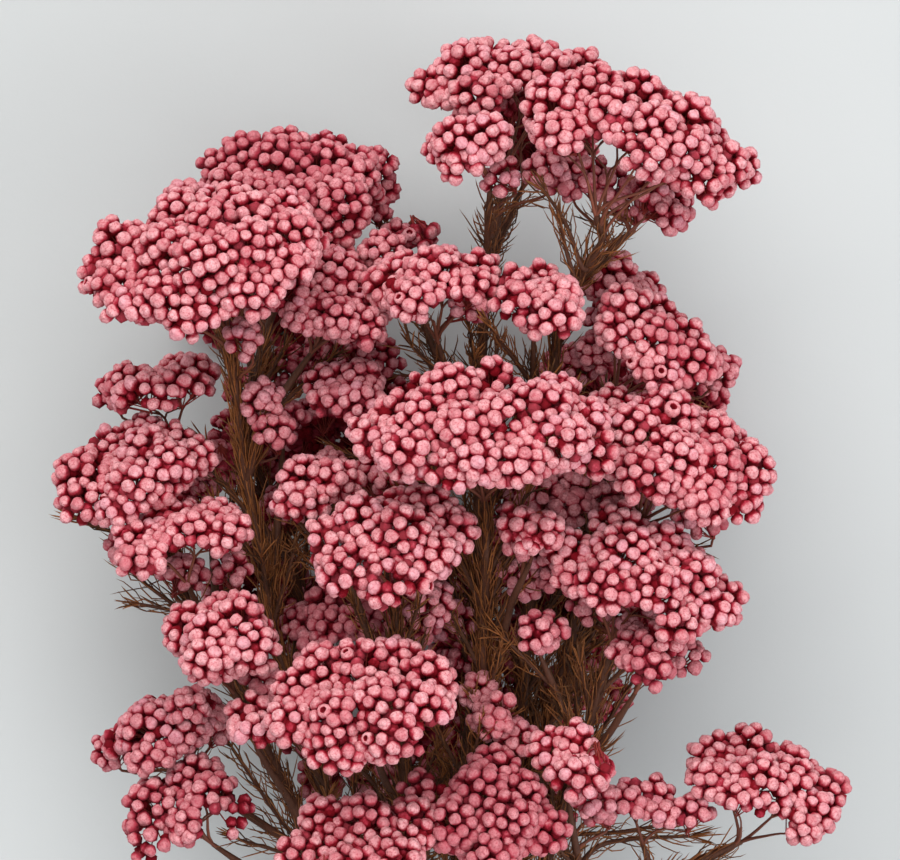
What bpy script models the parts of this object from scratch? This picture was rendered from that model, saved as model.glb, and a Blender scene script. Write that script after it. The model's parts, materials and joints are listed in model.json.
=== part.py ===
"""Dried rice flower: one cut spray of pink bud heads on leafy brown shoots, lying on its back.

Run it with blender --background --python part.py, or from Blender's text editor.
Layout values are in millimetres: +Y runs up the stems, +Z faces the viewer and z = 0 is the
surface that the spray lies on. Objects are written in metres.
"""
import math
import random
from collections import namedtuple

import bmesh
import bpy
import numpy as np

NAME = "dried_rice_flower"
MM = 0.001
GOLDEN_TURN = math.pi * (3.0 - math.sqrt(5.0))

# A direction that no stem, ray or needle leaf runs along, to measure turns round them from
ASIDE = (0.31, 0.17, 0.93)

# Clearances, in millimetres: between touching pieces, between heads, round a passing stem,
# from a needle leaf or ray to a head, and from a needle leaf to any stem or leaf of another shoot
GAP = 0.3
HEAD_GAP = 0.35
STEM_ROOM = 0.8
NEEDLE_TO_HEAD = 3.4
RAY_TO_HEAD = 2.6
NEEDLE_TO_NEEDLE = 2.6
LOWEST_NEEDLE = 1.2
LOWEST_STEM = 1.0

# Where two heads press on each other, the rear one gives way more, by how far behind it is
NEIGHBOUR_REACH = 8.0
REAR_GIVES = 0.3
REAR_DEPTH = 15.0
PLANE_WAYS = 600

# Bud heads, in millimetres unless the name says otherwise
BUD_PITCH = 6.45
BUD_RISE = 1.0
BUD_DIP = 0.9
BUD_UNEVEN = 0.35
FEWEST_BUDS = 9
LOBE_HEIGHT = 1.9
LOBE_LENGTH = 16.0
LOBE_WAVES = 5
REST_SINK = 1.7

# The underside's depth as a share of a head's half width
UNDER_DEPTH = 0.16

# Shares of a head's own radius: how far buds tuck under its rim, where the outer rays meet its
# underside, how fast its swellings fade below the rim, and the core that passing stems can't dent
RIM_TUCK = 0.22
RAY_SPREAD = 0.62
SWELL_FADE = 3.0
CORE = 0.5

# Stems, rays and needle leaves, in millimetres unless the name says otherwise
STEM_STEP = 4.0
STEM_RINGS = 4
AXIS_RADIUS = (1.9, 1.1)
BRANCH_RADIUS = (1.1, 0.85)
RAY_RADIUS = (0.62, 0.45)
HUB_REACH = 0.5
HUB_EXTRA = 2.0
RAY_STEP = 1.7
RAY_WIDTH_EACH = 10.0
NEEDLE_STEP = 11.0
NEEDLE_START = 9.0
NEEDLE_STOP = 3.0
NEEDLE_LENGTH = (8.0, 11.0)
NEEDLE_RADIUS = 0.42
NEEDLE_LEAN_DEGREES = (34.0, 52.0)
NEEDLE_TRIES = 6
TRY_TURN_DEGREES = 63.0

# How stems are bent aside: rounds, room to a head and to another shoot in millimetres, and the
# share of each push and of the smoothing that one round applies
BEND_ROUNDS = 80
BEND_TO_HEAD = 3.6
BEND_TO_STEM = 1.8
BEND_PUSH = 0.5
BEND_SMOOTH = 0.3
LONGEST_PUSH = 2.0

# The woody stem, in millimetres
STEM_CUT = (-4.0, -232.0, 30.0)
STEM_BEND = (2.0, -180.0, 42.0)
STEM_TOP = (0.0, -112.0, 50.0)
STEM_RADII = (4.8, 4.2, 3.0)
STEM_BEND_SHARE = 0.43
STEM_SECTIONS = 8
STUB_RADIUS = 2.1
STUB_LENGTH = 14.0
STUB_LEAN_DEGREES = 34.0
TIERS = {"leader": 1.0, "upper": 0.86, "lower": 0.70}

# Colours, from the photo, as linear RGB, with roughness
PINKS = {"bright": (0.46, 0.125, 0.150), "deep": (0.36, 0.078, 0.098)}
PINK_ROUGHNESS = 0.85
LEAF_BROWN = (0.125, 0.052, 0.022)
LEAF_ROUGHNESS = 0.7
BARK_BROWN = (0.110, 0.050, 0.028)
BARK_ROUGHNESS = 0.8

Head = namedtuple("Head", "name shoot fork centre size turn lean tone")
Shoot = namedtuple("Shoot", "name tier around via")
Line = namedtuple("Line", "shoot head points radii parent joint")

# Each shoot: where it leaves the woody stem, the angle round it (0 is right, 90 is front), then
# points on its way up
SHOOTS = (
    Shoot("top_a", "leader", 0, ((5, -60, 50), (7, 10, 52), (8, 55, 60))),
    Shoot("top_b", "upper", 25, ((16, -60, 48), (22, 10, 54), (28, 46, 62))),
    Shoot("centre", "upper", 75, ((5, -80, 60), (9, -30, 76))),
    Shoot("front", "upper", 125, ((-8, -85, 62), (-13, -50, 70))),
    Shoot("left_top", "upper", 175, ((-28, -78, 56), (-42, -20, 62), (-51, 20, 66))),
    Shoot("back_left", "upper", 225, ((-20, -70, 36), (-44, -5, 36))),
    Shoot("back_right", "upper", 290, ((18, -70, 38), (38, -20, 38))),
    Shoot("right_high", "upper", 340, ((22, -60, 50), (36, -4, 58))),
    Shoot("left_low", "lower", 150, ((-26, -98, 62), (-42, -66, 72))),
    Shoot("left_mid", "lower", 200, ((-34, -80, 50), (-58, -34, 54))),
    Shoot("base_front", "lower", 95, ((3, -100, 68),)),
    Shoot("right", "lower", 40, ((22, -84, 60), (33, -55, 70))),
    Shoot("right_low", "lower", 345, ((30, -98, 60), (54, -88, 66))),
)

# Each head: its shoot, how far up the shoot its branch leaves, its centre, its half width, half
# depth and dome height, its turn to the right and lean to the viewer in degrees, and its tone
HEADS = (
    Head("crown_left", "top_a", 1.0, (14.5, 95.5, 58), (23, 18, 13), 3, 28, "bright"),
    Head("crown_low", "top_a", 0.82, (6, 81, 80), (12, 11, 9), -25, 38, "bright"),
    Head("crown_right", "top_b", 1.0, (40.5, 79.5, 86), (28, 21, 18), 15, 18, "bright"),
    Head("crown_tip", "top_b", 0.84, (48, 68, 70), (9, 8, 8), 50, 12, "deep"),
    Head("left_rear", "left_top", 0.86, (-36.5, 71, 54), (24, 20, 15), 8, 32, "deep"),
    Head("left_front", "left_top", 1.0, (-55, 54, 90), (29, 21, 14), -13, 42, "bright"),
    Head("left_under", "left_top", 0.82, (-29, 46, 76), (18, 16, 10), 15, 40, "deep"),
    Head("mid_dark", "top_a", 0.62, (-11, 62, 44), (8, 8, 7), 0, 15, "deep"),
    Head("mid_left", "top_a", 0.58, (-4, 48, 82), (16, 14, 9), -6, 32, "bright"),
    Head("mid_right", "top_b", 0.60, (21, 45, 84), (12, 12, 10), 12, 36, "bright"),
    Head("right_high", "top_b", 0.68, (39.5, 49, 55), (13, 11, 9), 14, 28, "bright"),
    Head("right_slope", "right_high", 1.0, (46.5, 34.5, 68), (19, 15, 12), 36, 28, "bright"),
    Head("centre_front", "centre", 1.0, (8, 14.5, 100), (30, 18, 13), 0, 46, "bright"),
    Head("centre_left", "centre", 0.80, (-21.5, 24, 70), (12, 11, 9), -12, 34, "deep"),
    Head("right_front", "right_high", 0.74, (50.5, 9, 80), (25, 19, 13), 22, 36, "bright"),
    Head("centre_small", "centre", 0.60, (19, -8, 92), (9, 8, 7), 6, 42, "bright"),
    Head("right_low", "right", 1.0, (43.5, -19, 83), (25, 16, 13), 22, 38, "bright"),
    Head("right_under", "right", 0.66, (45, -37, 84), (11, 10, 9), 16, 34, "deep"),
    Head("left_flat", "left_mid", 0.84, (-68, 25.5, 58), (16, 14, 9), -8, 14, "bright"),
    Head("left_outer", "left_mid", 1.0, (-73.5, 4.5, 72), (19, 18, 11), -16, 36, "bright"),
    Head("left_inner", "left_mid", 0.74, (-57, 7, 48), (10, 9, 8), 5, 34, "deep"),
    Head("left_mid", "left_mid", 0.60, (-62.5, -9.5, 82), (18, 13, 9), -8, 40, "bright"),
    Head("gap_left", "left_top", 0.60, (-41, 18.5, 58), (8, 8, 7), -10, 28, "deep"),
    Head("inner_left", "front", 0.74, (-30, 2.5, 76), (13, 11, 9), -8, 40, "bright"),
    Head("inner_front", "front", 1.0, (-14, -10, 90), (20, 17, 11), -6, 44, "bright"),
    Head("inner_dark", "front", 0.66, (-17, -28, 60), (20, 12, 9), -4, 36, "deep"),
    Head("low_left", "left_low", 1.0, (-52, -35, 88), (15, 13, 11), -12, 42, "bright"),
    Head("low_left_tip", "left_low", 0.72, (-45, -51, 91), (9, 8, 6), -5, 46, "bright"),
    Head("low_front", "front", 0.42, (-17, -46.5, 102), (24, 18, 12), 0, 48, "bright"),
    Head("low_small", "right", 0.76, (22, -31, 84), (8, 8, 6), 10, 44, "deep"),
    Head("corner_high", "left_low", 0.56, (-66, -55.5, 62), (18, 13, 8), -22, 32, "deep"),
    Head("corner_low", "left_low", 0.36, (-60, -72, 70), (17, 15, 9), -22, 40, "deep"),
    Head("base_left", "base_front", 0.50, (-20, -79, 96), (18, 14, 9), -8, 48, "bright"),
    Head("base_front", "base_front", 1.0, (8, -73, 88), (19, 16, 12), 5, 50, "deep"),
    Head("base_right", "right_low", 0.50, (29, -61, 88), (11, 10, 10), 12, 42, "bright"),
    Head("gap_small", "base_front", 0.70, (11, -50, 80), (7, 7, 6), 0, 46, "bright"),
    Head("chain", "right_low", 0.72, (48, -71, 76), (15, 7, 5), 16, 34, "deep"),
    Head("corner_right", "right_low", 1.0, (74, -69, 72), (20, 15, 10), 24, 34, "bright"),
    Head("back_left", "back_left", 1.0, (-47, 53, 0), (25, 20, 12), -12, -50, "deep"),
    Head("back_left_low", "back_left", 0.62, (-48, -24, 29), (17, 14, 9), -20, -42, "deep"),
    Head("back_low", "back_left", 0.34, (0, -60, 0), (22, 18, 10), 0, -58, "deep"),
    Head("back_high", "top_a", 0.86, (18, 88, 33), (19, 15, 9), 2, -30, "deep"),
    Head("back_right", "back_right", 1.0, (48, 18, 0), (24, 20, 12), 14, -50, "deep"),
    Head("back_right_low", "back_right", 0.60, (33, -28, 29), (19, 15, 10), 12, -42, "deep"),
    Head("back_centre", "back_left", 0.70, (-19, 12, 31), (27, 19, 12), -4, -46, "deep"),
)
RESTING = ("back_left", "back_low", "back_right")


def unit(v):
    return v / np.linalg.norm(v)


def head_axes(head):
    """The head's own directions as rows: across, deep and out of its dome."""
    turn = math.radians(head.turn)
    lean = math.radians(head.lean)
    across = np.array([math.cos(turn), -math.sin(turn), 0.0])
    out = np.array([math.sin(turn) * math.cos(lean), math.cos(turn) * math.cos(lean), math.sin(lean)])
    return np.array([across, np.cross(out, across), out])


def head_scale(head, above):
    """Half sizes for points above or below the rim: the underside is shallow."""
    wide, deep, dome = head.size
    height = np.where(above, dome, UNDER_DEPTH * wide)
    return np.stack([np.full_like(height, wide), np.full_like(height, deep), height], axis=-1)


def support(head, directions):
    """How far the plain head reaches from its centre along each direction."""
    local = directions @ head_axes(head).T
    return np.linalg.norm(local * head_scale(head, local[:, 2] > 0), axis=1)


def seat(head):
    """A resting head is lowered until its lowest side is sunk by REST_SINK and can be cut flat there."""
    if head.name not in RESTING:
        return head
    reach = support(head, np.array([[0.0, 0.0, -1.0]]))[0]
    return head._replace(centre=(head.centre[0], head.centre[1], reach - REST_SINK))


def hub(head):
    """Where the head's rays leave its branch."""
    below = UNDER_DEPTH * head.size[0] + HUB_REACH * head.size[0] + HUB_EXTRA
    return np.array(head.centre) - below * head_axes(head)[2]


def near_head(head, points):
    """Roughly how far each point is from the plain head, less than 0 inside, and the way out."""
    axes = head_axes(head)
    local = (points - np.array(head.centre)) @ axes.T
    scale = head_scale(head, local[:, 2] > 0)
    q = local / scale
    size = np.maximum(np.linalg.norm(q, axis=1, keepdims=True), 1e-6)
    slope = (q / size / scale) @ axes
    steep = np.linalg.norm(slope, axis=1, keepdims=True)
    return ((size - 1.0) / steep)[:, 0], slope / steep


def even_directions(count):
    """Directions spread evenly over a sphere."""
    i = np.arange(count) + 0.5
    z = 1.0 - 2.0 * i / count
    r = np.sqrt(1.0 - z * z)
    return np.stack([r * np.cos(i * GOLDEN_TURN), r * np.sin(i * GOLDEN_TURN), z], axis=1)


def dividing_planes(heads):
    """For each head, the planes that keep it clear of its neighbours and of the surface below."""
    planes = {head.name: [(np.array([0.0, 0.0, -1.0]), head.centre[2])] for head in heads}
    ways = even_directions(PLANE_WAYS)
    for i, one in enumerate(heads):
        for two in heads[i + 1:]:
            apart = np.array(two.centre, float) - np.array(one.centre, float)
            if np.linalg.norm(apart) > max(one.size) + max(two.size) + NEIGHBOUR_REACH:
                continue
            overlap = support(one, ways) + support(two, -ways) - ways @ apart
            best = int(np.argmin(overlap))
            way = ways[best]
            share = 0.5 + REAR_GIVES * math.tanh((two.centre[2] - one.centre[2]) / REAR_DEPTH)
            reach = support(one, way[None])[0] - share * overlap[best]
            planes[one.name].append((way, reach - HEAD_GAP / 2))
            planes[two.name].append((-way, way @ apart - reach - HEAD_GAP / 2))
    return planes


def stem_planes(head, lines):
    """The planes that keep a head clear of the stems that pass it."""
    found = []
    axes = head_axes(head)
    for line in lines:
        if line.head == head.name:
            continue
        points, radii = traced(line)
        distance, out = near_head(head, points)
        for k in np.flatnonzero(distance < BEND_TO_HEAD + radii):
            local = axes @ (points[k] - np.array(head.centre))
            scale = head_scale(head, local[2] > 0)
            reach = out[k] @ (points[k] - np.array(head.centre))
            if np.linalg.norm(local / scale) > CORE:
                found.append((out[k], reach - radii[k] - STEM_ROOM))
    return found


def held_in(points, planes):
    """Each point, drawn towards the centre until it is inside every plane."""
    shrink = np.ones(len(points))
    for way, reach in planes:
        along = points @ way
        over = along > reach
        shrink[over] = np.minimum(shrink[over], reach / along[over])
    return points * shrink[:, None]


def lobes(head, points):
    """Low swellings of a head's dome, in millimetres, from a few seeded waves."""
    rng = random.Random(head.name)
    total = np.zeros(len(points))
    for _ in range(LOBE_WAVES):
        way = np.array([rng.gauss(0.0, 1.0) for _ in range(3)])
        start = rng.uniform(0.0, 2.0 * math.pi)
        total += np.cos(2.0 * math.pi * (points @ unit(way)) / LOBE_LENGTH + start)
    return LOBE_HEIGHT * total / math.sqrt(LOBE_WAVES)


def bud_directions(head):
    """Evenly spaced buds over the dome and just round its rim, as directions on a unit sphere."""
    wide = (head.size[0] + head.size[1]) / 2
    tilt = np.linspace(0.0, math.acos(-RIM_TUCK), 200)
    height = np.where(tilt < math.pi / 2, head.size[2], UNDER_DEPTH * head.size[0])
    ring = wide * np.sin(tilt) * np.hypot(wide * np.cos(tilt), height * np.sin(tilt))
    area = np.concatenate([[0.0], np.cumsum((ring[1:] + ring[:-1]) / 2 * np.diff(tilt))])
    each = BUD_PITCH ** 2 * math.sqrt(3.0) / 2.0
    count = max(FEWEST_BUDS, round(2.0 * math.pi * area[-1] / each))
    order = np.arange(count) + 0.5
    tilts = np.interp(order / count * area[-1], area, tilt)
    start = random.Random(head.name + "_buds").uniform(0.0, 2.0 * math.pi)
    turns = start + np.arange(count) * GOLDEN_TURN
    return np.stack([np.sin(tilts) * np.cos(turns), np.sin(tilts) * np.sin(turns), np.cos(tilts)], axis=1)


def ray_directions(head):
    """Where the rays meet the underside, the middle one first, as directions on a unit sphere."""
    count = 2 + round(head.size[0] / RAY_WIDTH_EACH)
    start = random.Random(head.name + "_rays").uniform(0.0, 2.0 * math.pi)
    turns = start + np.arange(count) * 2.0 * math.pi / count
    ring = np.stack([RAY_SPREAD * np.cos(turns), RAY_SPREAD * np.sin(turns)], axis=1)
    drop = np.full((count, 1), -math.sqrt(1.0 - RAY_SPREAD ** 2))
    return np.concatenate([[[0.0, 0.0, -1.0]], np.hstack([ring, drop])])


def on_head(head, directions, planes, swell):
    """Points of the head's surface, from its centre, swelled outwards and kept inside its planes."""
    above = directions[:, 2] > 0
    flat = directions * head_scale(head, above) @ head_axes(head)
    length = np.linalg.norm(flat, axis=1)
    fade = np.clip(directions[:, 2] * SWELL_FADE + 1.0, 0.0, 1.0)
    grown = length + lobes(head, flat) * fade + swell
    return held_in(flat * (grown / length)[:, None], planes)


def underside(head, planes):
    """The points of the underside that the rays reach, in the layout."""
    directions = ray_directions(head)
    return np.array(head.centre) + on_head(head, directions, planes, np.zeros(len(directions)))


def smooth_curve(stops, first, last, step):
    """Points every step or so on a smooth curve through the stops, with given end directions."""
    stops = np.array(stops, float)
    spans = np.linalg.norm(np.diff(stops, axis=0), axis=1)
    slopes = [unit(np.array(first)) * spans[0]]
    for i in range(1, len(stops) - 1):
        slopes.append((stops[i + 1] - stops[i - 1]) * 0.5)
    slopes.append(unit(np.array(last)) * spans[-1])
    points = [stops[:1]]
    for i, span in enumerate(spans):
        t = np.linspace(0.0, 1.0, max(2, round(span / step)) + 1)[1:, None]
        start = (2 * t ** 3 - 3 * t ** 2 + 1) * stops[i] + (t ** 3 - 2 * t ** 2 + t) * slopes[i]
        end = (3 * t ** 2 - 2 * t ** 3) * stops[i + 1] + (t ** 3 - t ** 2) * slopes[i + 1]
        points.append(start + end)
    return np.concatenate(points)


def stem_path():
    """The woody stem's centreline and radii."""
    first = np.array(STEM_BEND) - np.array(STEM_CUT)
    last = np.array(STEM_TOP) - np.array(STEM_BEND)
    points = smooth_curve([STEM_CUT, STEM_BEND, STEM_TOP], first, last, 10.0)
    along = np.linspace(0.0, 1.0, len(points))
    return points, np.interp(along, [0.0, STEM_BEND_SHARE, 1.0], STEM_RADII)


def stub_of(shoot):
    """Where a shoot's stub starts inside the woody stem, and its direction."""
    points, _ = stem_path()
    at = TIERS[shoot.tier] * (len(points) - 1)
    k = min(int(at), len(points) - 2)
    base = points[k] + (points[k + 1] - points[k]) * (at - k)
    along = unit(points[k + 1] - points[k])
    if shoot.tier == "leader":
        return base, along
    around = math.radians(shoot.around)
    side = np.array([math.cos(around), 0.0, math.sin(around)])
    side = unit(side - along * (side @ along))
    lean = math.radians(STUB_LEAN_DEGREES)
    return base, along * math.cos(lean) + side * math.sin(lean)


def shoot_root(shoot):
    """Where a shoot meets its stub, and the way it leaves."""
    base, way = stub_of(shoot)
    reach = 0.0 if shoot.tier == "leader" else STUB_LENGTH
    return base + way * (reach + GAP), way


def grown_lines(heads):
    """Each shoot's axis, then a branch to each of its other heads, before they are bent clear."""
    lines = []
    for shoot in SHOOTS:
        own = [head for head in heads if head.shoot == shoot.name]
        top = next(head for head in own if head.fork == 1.0)
        root, way = shoot_root(shoot)
        first = root + way * STEM_STEP
        out = head_axes(top)[2]
        points = smooth_curve([first, *shoot.via, hub(top)], way, out, STEM_STEP)
        points = np.concatenate([[root], points])
        radii = np.linspace(*AXIS_RADIUS, len(points))
        axis = len(lines)
        lines.append(Line(shoot.name, top.name, points, radii, None, 0))
        for head in own:
            if head is top:
                continue
            joint = round(head.fork * (len(points) - 1))
            along = points[joint + 1] - points[joint - 1]
            branch = smooth_curve([points[joint], hub(head)], along, head_axes(head)[2], STEM_STEP)
            thin = np.linspace(*BRANCH_RADIUS, len(branch))
            lines.append(Line(shoot.name, head.name, branch, thin, axis, joint))
    return lines


def bend_clear(lines, heads):
    """Stems bent gently aside where they would pass through a head or another shoot."""
    owner = np.concatenate([[i] * len(line.points) for i, line in enumerate(lines)])
    shoot = np.array([lines[i].shoot for i in owner])
    radii = np.concatenate([line.radii for line in lines])
    starts = np.concatenate([[0], np.cumsum([len(line.points) for line in lines])])
    fixed = np.zeros(len(owner), bool)
    for i, line in enumerate(lines):
        fixed[starts[i + 1] - 1] = True
        fixed[starts[i]:starts[i] + (3 if line.parent is None else 1)] = True
    at = np.concatenate([line.points for line in lines])
    others = shoot[:, None] != shoot[None, :]
    room = radii[:, None] + radii[None, :] + BEND_TO_STEM
    for _ in range(BEND_ROUNDS):
        push = np.zeros_like(at)
        for head in heads:
            distance, out = near_head(head, at)
            short = np.maximum(radii + BEND_TO_HEAD - distance, 0.0)
            push += BEND_PUSH * np.minimum(short, LONGEST_PUSH)[:, None] * out
        away = at[:, None] - at[None, :]
        length = np.linalg.norm(away, axis=2) + 1e-9
        short = np.where(others, np.maximum(room - length, 0.0), 0.0)
        push += BEND_PUSH * ((short / length)[:, :, None] * away).sum(axis=1)
        inner = np.ones(len(at), bool)
        inner[starts[:-1]] = False
        inner[starts[1:] - 1] = False
        k = np.flatnonzero(inner)
        push[k] += BEND_SMOOTH * ((at[k - 1] + at[k + 1]) / 2 - at[k])
        push[fixed] = 0.0
        at = at + push
        at[:, 2] = np.maximum(at[:, 2], radii + LOWEST_STEM)
        for i, line in enumerate(lines):
            if line.parent is not None:
                at[starts[i]] = at[starts[line.parent] + line.joint]
    return [line._replace(points=at[starts[i]:starts[i + 1]]) for i, line in enumerate(lines)]


def spread_along(start, end, step=1.5):
    """Close points along a straight piece, for clearance tests."""
    count = max(2, math.ceil(np.linalg.norm(end - start) / step) + 1)
    return start + (end - start) * np.linspace(0.0, 1.0, count)[:, None]


def at_length(points, where):
    """The point that lies a given length along a line, and the line's direction there."""
    steps = np.linalg.norm(np.diff(points, axis=0), axis=1)
    along = np.concatenate([[0.0], np.cumsum(steps)])
    k = min(max(int(np.searchsorted(along, where)), 1), len(points) - 1)
    way = unit(points[k] - points[k - 1])
    return points[k - 1] + way * (where - along[k - 1]), way


def line_length(points):
    return np.linalg.norm(np.diff(points, axis=0), axis=1).sum()


def on_line(points, place):
    """The point of a line that is nearest to a place."""
    where = np.linspace(0.0, line_length(points), 400)
    near = np.array([at_length(points, value)[0] for value in where])
    return near[np.argmin(np.linalg.norm(near - place, axis=1))]


def lightened(lines):
    """The same stems with only every few points, each branch still starting on its parent."""
    light = []
    for line in lines:
        count = max(2, round(len(line.points) / STEM_RINGS) + 1)
        keep = np.round(np.linspace(0, len(line.points) - 1, count)).astype(int)
        if line.parent is None:
            keep = np.append(keep, 1)
        keep = np.unique(keep)
        points = line.points[keep].copy()
        if line.parent is not None:
            points[0] = on_line(light[line.parent].points, points[0])
        light.append(line._replace(points=points, radii=line.radii[keep]))
    return light


def traced(line, step=3.0):
    """Close points along a light stem, with their radii, for clearance tests."""
    where = np.linspace(0.0, line_length(line.points), max(2, round(line_length(line.points) / step)))
    steps = np.linalg.norm(np.diff(line.points, axis=0), axis=1)
    along = np.concatenate([[0.0], np.cumsum(steps)])
    points = np.array([at_length(line.points, value)[0] for value in where])
    return points, np.interp(where, along, line.radii)


def new_object(name, mesh, material, collection, place=(0.0, 0.0, 0.0)):
    made = bpy.data.objects.new(name, mesh)
    made.location = [value * MM for value in place]
    if material is not None:
        mesh.materials.append(material)
    collection.objects.link(made)
    return made


def head_object(head, planes, material, collection):
    """A bud head: a dome of buds, each a knob raised from its surface, over a plain shallow underside."""
    buds = bud_directions(head)
    low = ray_directions(head)
    rng = random.Random(head.name + "_uneven")
    swell = np.array([BUD_RISE + rng.uniform(-BUD_UNEVEN, BUD_UNEVEN) for _ in buds])
    tops = on_head(head, buds, planes, swell)
    under = on_head(head, low, planes, np.zeros(len(low)))
    bm = bmesh.new()
    verts = [bm.verts.new(way) for way in np.concatenate([buds, low])]
    places = dict(zip(verts, np.concatenate([tops, under])))
    knobs = set(verts[:len(buds)])
    bmesh.ops.convex_hull(bm, input=verts)
    raised = [face for face in bm.faces if all(vert in knobs for vert in face.verts)]
    shared = [edge for edge in bm.edges if all(face in set(raised) for face in edge.link_faces)]
    dips = bmesh.ops.poke(bm, faces=raised)["verts"]
    ways = np.array([unit(np.array(vert.co)) for vert in dips])
    for vert, place in zip(dips, on_head(head, ways, planes, np.full(len(dips), -BUD_DIP))):
        places[vert] = place
    bmesh.ops.rotate_edges(bm, edges=shared, use_ccw=False)
    for vert, place in places.items():
        vert.co = place * MM
    bmesh.ops.recalc_face_normals(bm, faces=bm.faces)
    if bm.calc_volume(signed=True) < 0.0:
        bmesh.ops.reverse_faces(bm, faces=bm.faces)
    mesh = bpy.data.meshes.new("head_" + head.name)
    bm.to_mesh(mesh)
    bm.free()
    return new_object("head_" + head.name, mesh, material, collection, head.centre)


def tube(name, points, radii, rings, collection):
    """A closed tapering tube along the points, as a mesh object made from a curve."""
    curve = bpy.data.curves.new(name, "CURVE")
    curve.dimensions = "3D"
    curve.bevel_depth = MM
    curve.bevel_resolution = rings
    curve.use_fill_caps = True
    spline = curve.splines.new("POLY")
    spline.points.add(len(points) - 1)
    for knot, place, radius in zip(spline.points, points, radii):
        knot.co = (*(place * MM), 1.0)
        knot.radius = radius
    guide = bpy.data.objects.new(name + "_curve", curve)
    collection.objects.link(guide)
    bpy.context.view_layer.update()
    shaped = guide.evaluated_get(bpy.context.evaluated_depsgraph_get())
    mesh = bpy.data.meshes.new_from_object(shaped)
    bpy.data.objects.remove(guide)
    bpy.data.curves.remove(curve)
    bm = bmesh.new()
    bm.from_mesh(mesh)
    bmesh.ops.remove_doubles(bm, verts=bm.verts, dist=0.01 * MM)
    bmesh.ops.recalc_face_normals(bm, faces=bm.faces)
    bm.to_mesh(mesh)
    bm.free()
    return new_object(name, mesh, None, collection)


def spike(name, start, end, radii, collection):
    """A straight three-sided ray or needle leaf from start to end."""
    way = end - start
    length = np.linalg.norm(way)
    side = unit(np.cross(way, ASIDE))
    frame = np.array([side, np.cross(unit(way), side), unit(way)])
    bm = bmesh.new()
    bmesh.ops.create_cone(bm, cap_ends=True, segments=3, radius1=radii[0], radius2=radii[1], depth=length)
    for vert in bm.verts:
        vert.co = (np.array(vert.co) @ frame + (start + end) / 2) * MM
    mesh = bpy.data.meshes.new(name)
    bm.to_mesh(mesh)
    bm.free()
    return new_object(name, mesh, None, collection)


def reaching(line, head, planes):
    """A light stem carried on from its hub to just under the middle of its head."""
    place = underside(head, planes)[0]
    end = place - unit(place - line.points[-1]) * GAP
    return line._replace(points=np.vstack([line.points, end]), radii=np.append(line.radii, RAY_RADIUS[1]))


def rays_of(line, head, planes, heads):
    """Start and end of each ray that leaves the stem near its hub and passes clear of other heads."""
    hub_at = line_length(line.points[:-1])
    rays = []
    for k, place in enumerate(underside(head, planes)[1:]):
        start, _ = at_length(line.points, hub_at - RAY_STEP * (k + 0.5))
        end = place - unit(place - start) * GAP
        path = spread_along(start, end)
        if min(near_head(other, path)[0].min() for other in heads if other is not head) > RAY_TO_HEAD:
            rays.append((start, end))
    return rays


def clear_needle(root, way, side, length, lean, heads, taken):
    """A needle's end, leaning out between the stem's way and one side, or None if none is clear."""
    across = np.cross(way, side)
    for attempt in range(NEEDLE_TRIES):
        turn = attempt * math.radians(TRY_TURN_DEGREES)
        out = side * math.cos(turn) + across * math.sin(turn)
        end = root + (way * math.cos(lean) + out * math.sin(lean)) * length
        path = spread_along(root + (end - root) / 4, end)
        if path[:, 2].min() < LOWEST_NEEDLE:
            continue
        if min(near_head(head, path)[0].min() for head in heads) < NEEDLE_TO_HEAD:
            continue
        if np.linalg.norm(path[:, None] - taken[None, :], axis=2).min() < NEEDLE_TO_NEEDLE:
            continue
        return end
    return None


def needles_of(line, heads, taken):
    """Root and end of each needle leaf up one stem, turning by the golden angle."""
    found = []
    at = NEEDLE_START
    k = 0
    rng = random.Random(line.head + "_needles")
    while at < line_length(line.points) - NEEDLE_STOP:
        root, way = at_length(line.points, at)
        side = unit(np.cross(way, ASIDE))
        side = side * math.cos(k * GOLDEN_TURN) + np.cross(way, side) * math.sin(k * GOLDEN_TURN)
        length = rng.uniform(*NEEDLE_LENGTH)
        lean = math.radians(rng.uniform(*NEEDLE_LEAN_DEGREES))
        end = clear_needle(root, way, side, length, lean, heads, taken)
        if end is not None:
            found.append((root, end))
        at += NEEDLE_STEP * rng.uniform(0.8, 1.2)
        k += 1
    return found


def fused(first, pieces):
    """One Boolean union of a collection's objects into the first object, applied."""
    union = first.modifiers.new("fuse", "BOOLEAN")
    union.operation = "UNION"
    union.operand_type = "COLLECTION"
    union.collection = pieces
    bpy.context.view_layer.update()
    shaped = first.evaluated_get(bpy.context.evaluated_depsgraph_get())
    mesh = bpy.data.meshes.new_from_object(shaped)
    first.modifiers.remove(union)
    first.data = mesh
    for piece in list(pieces.objects):
        bpy.data.objects.remove(piece)
    bpy.data.collections.remove(pieces)
    return first


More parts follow.
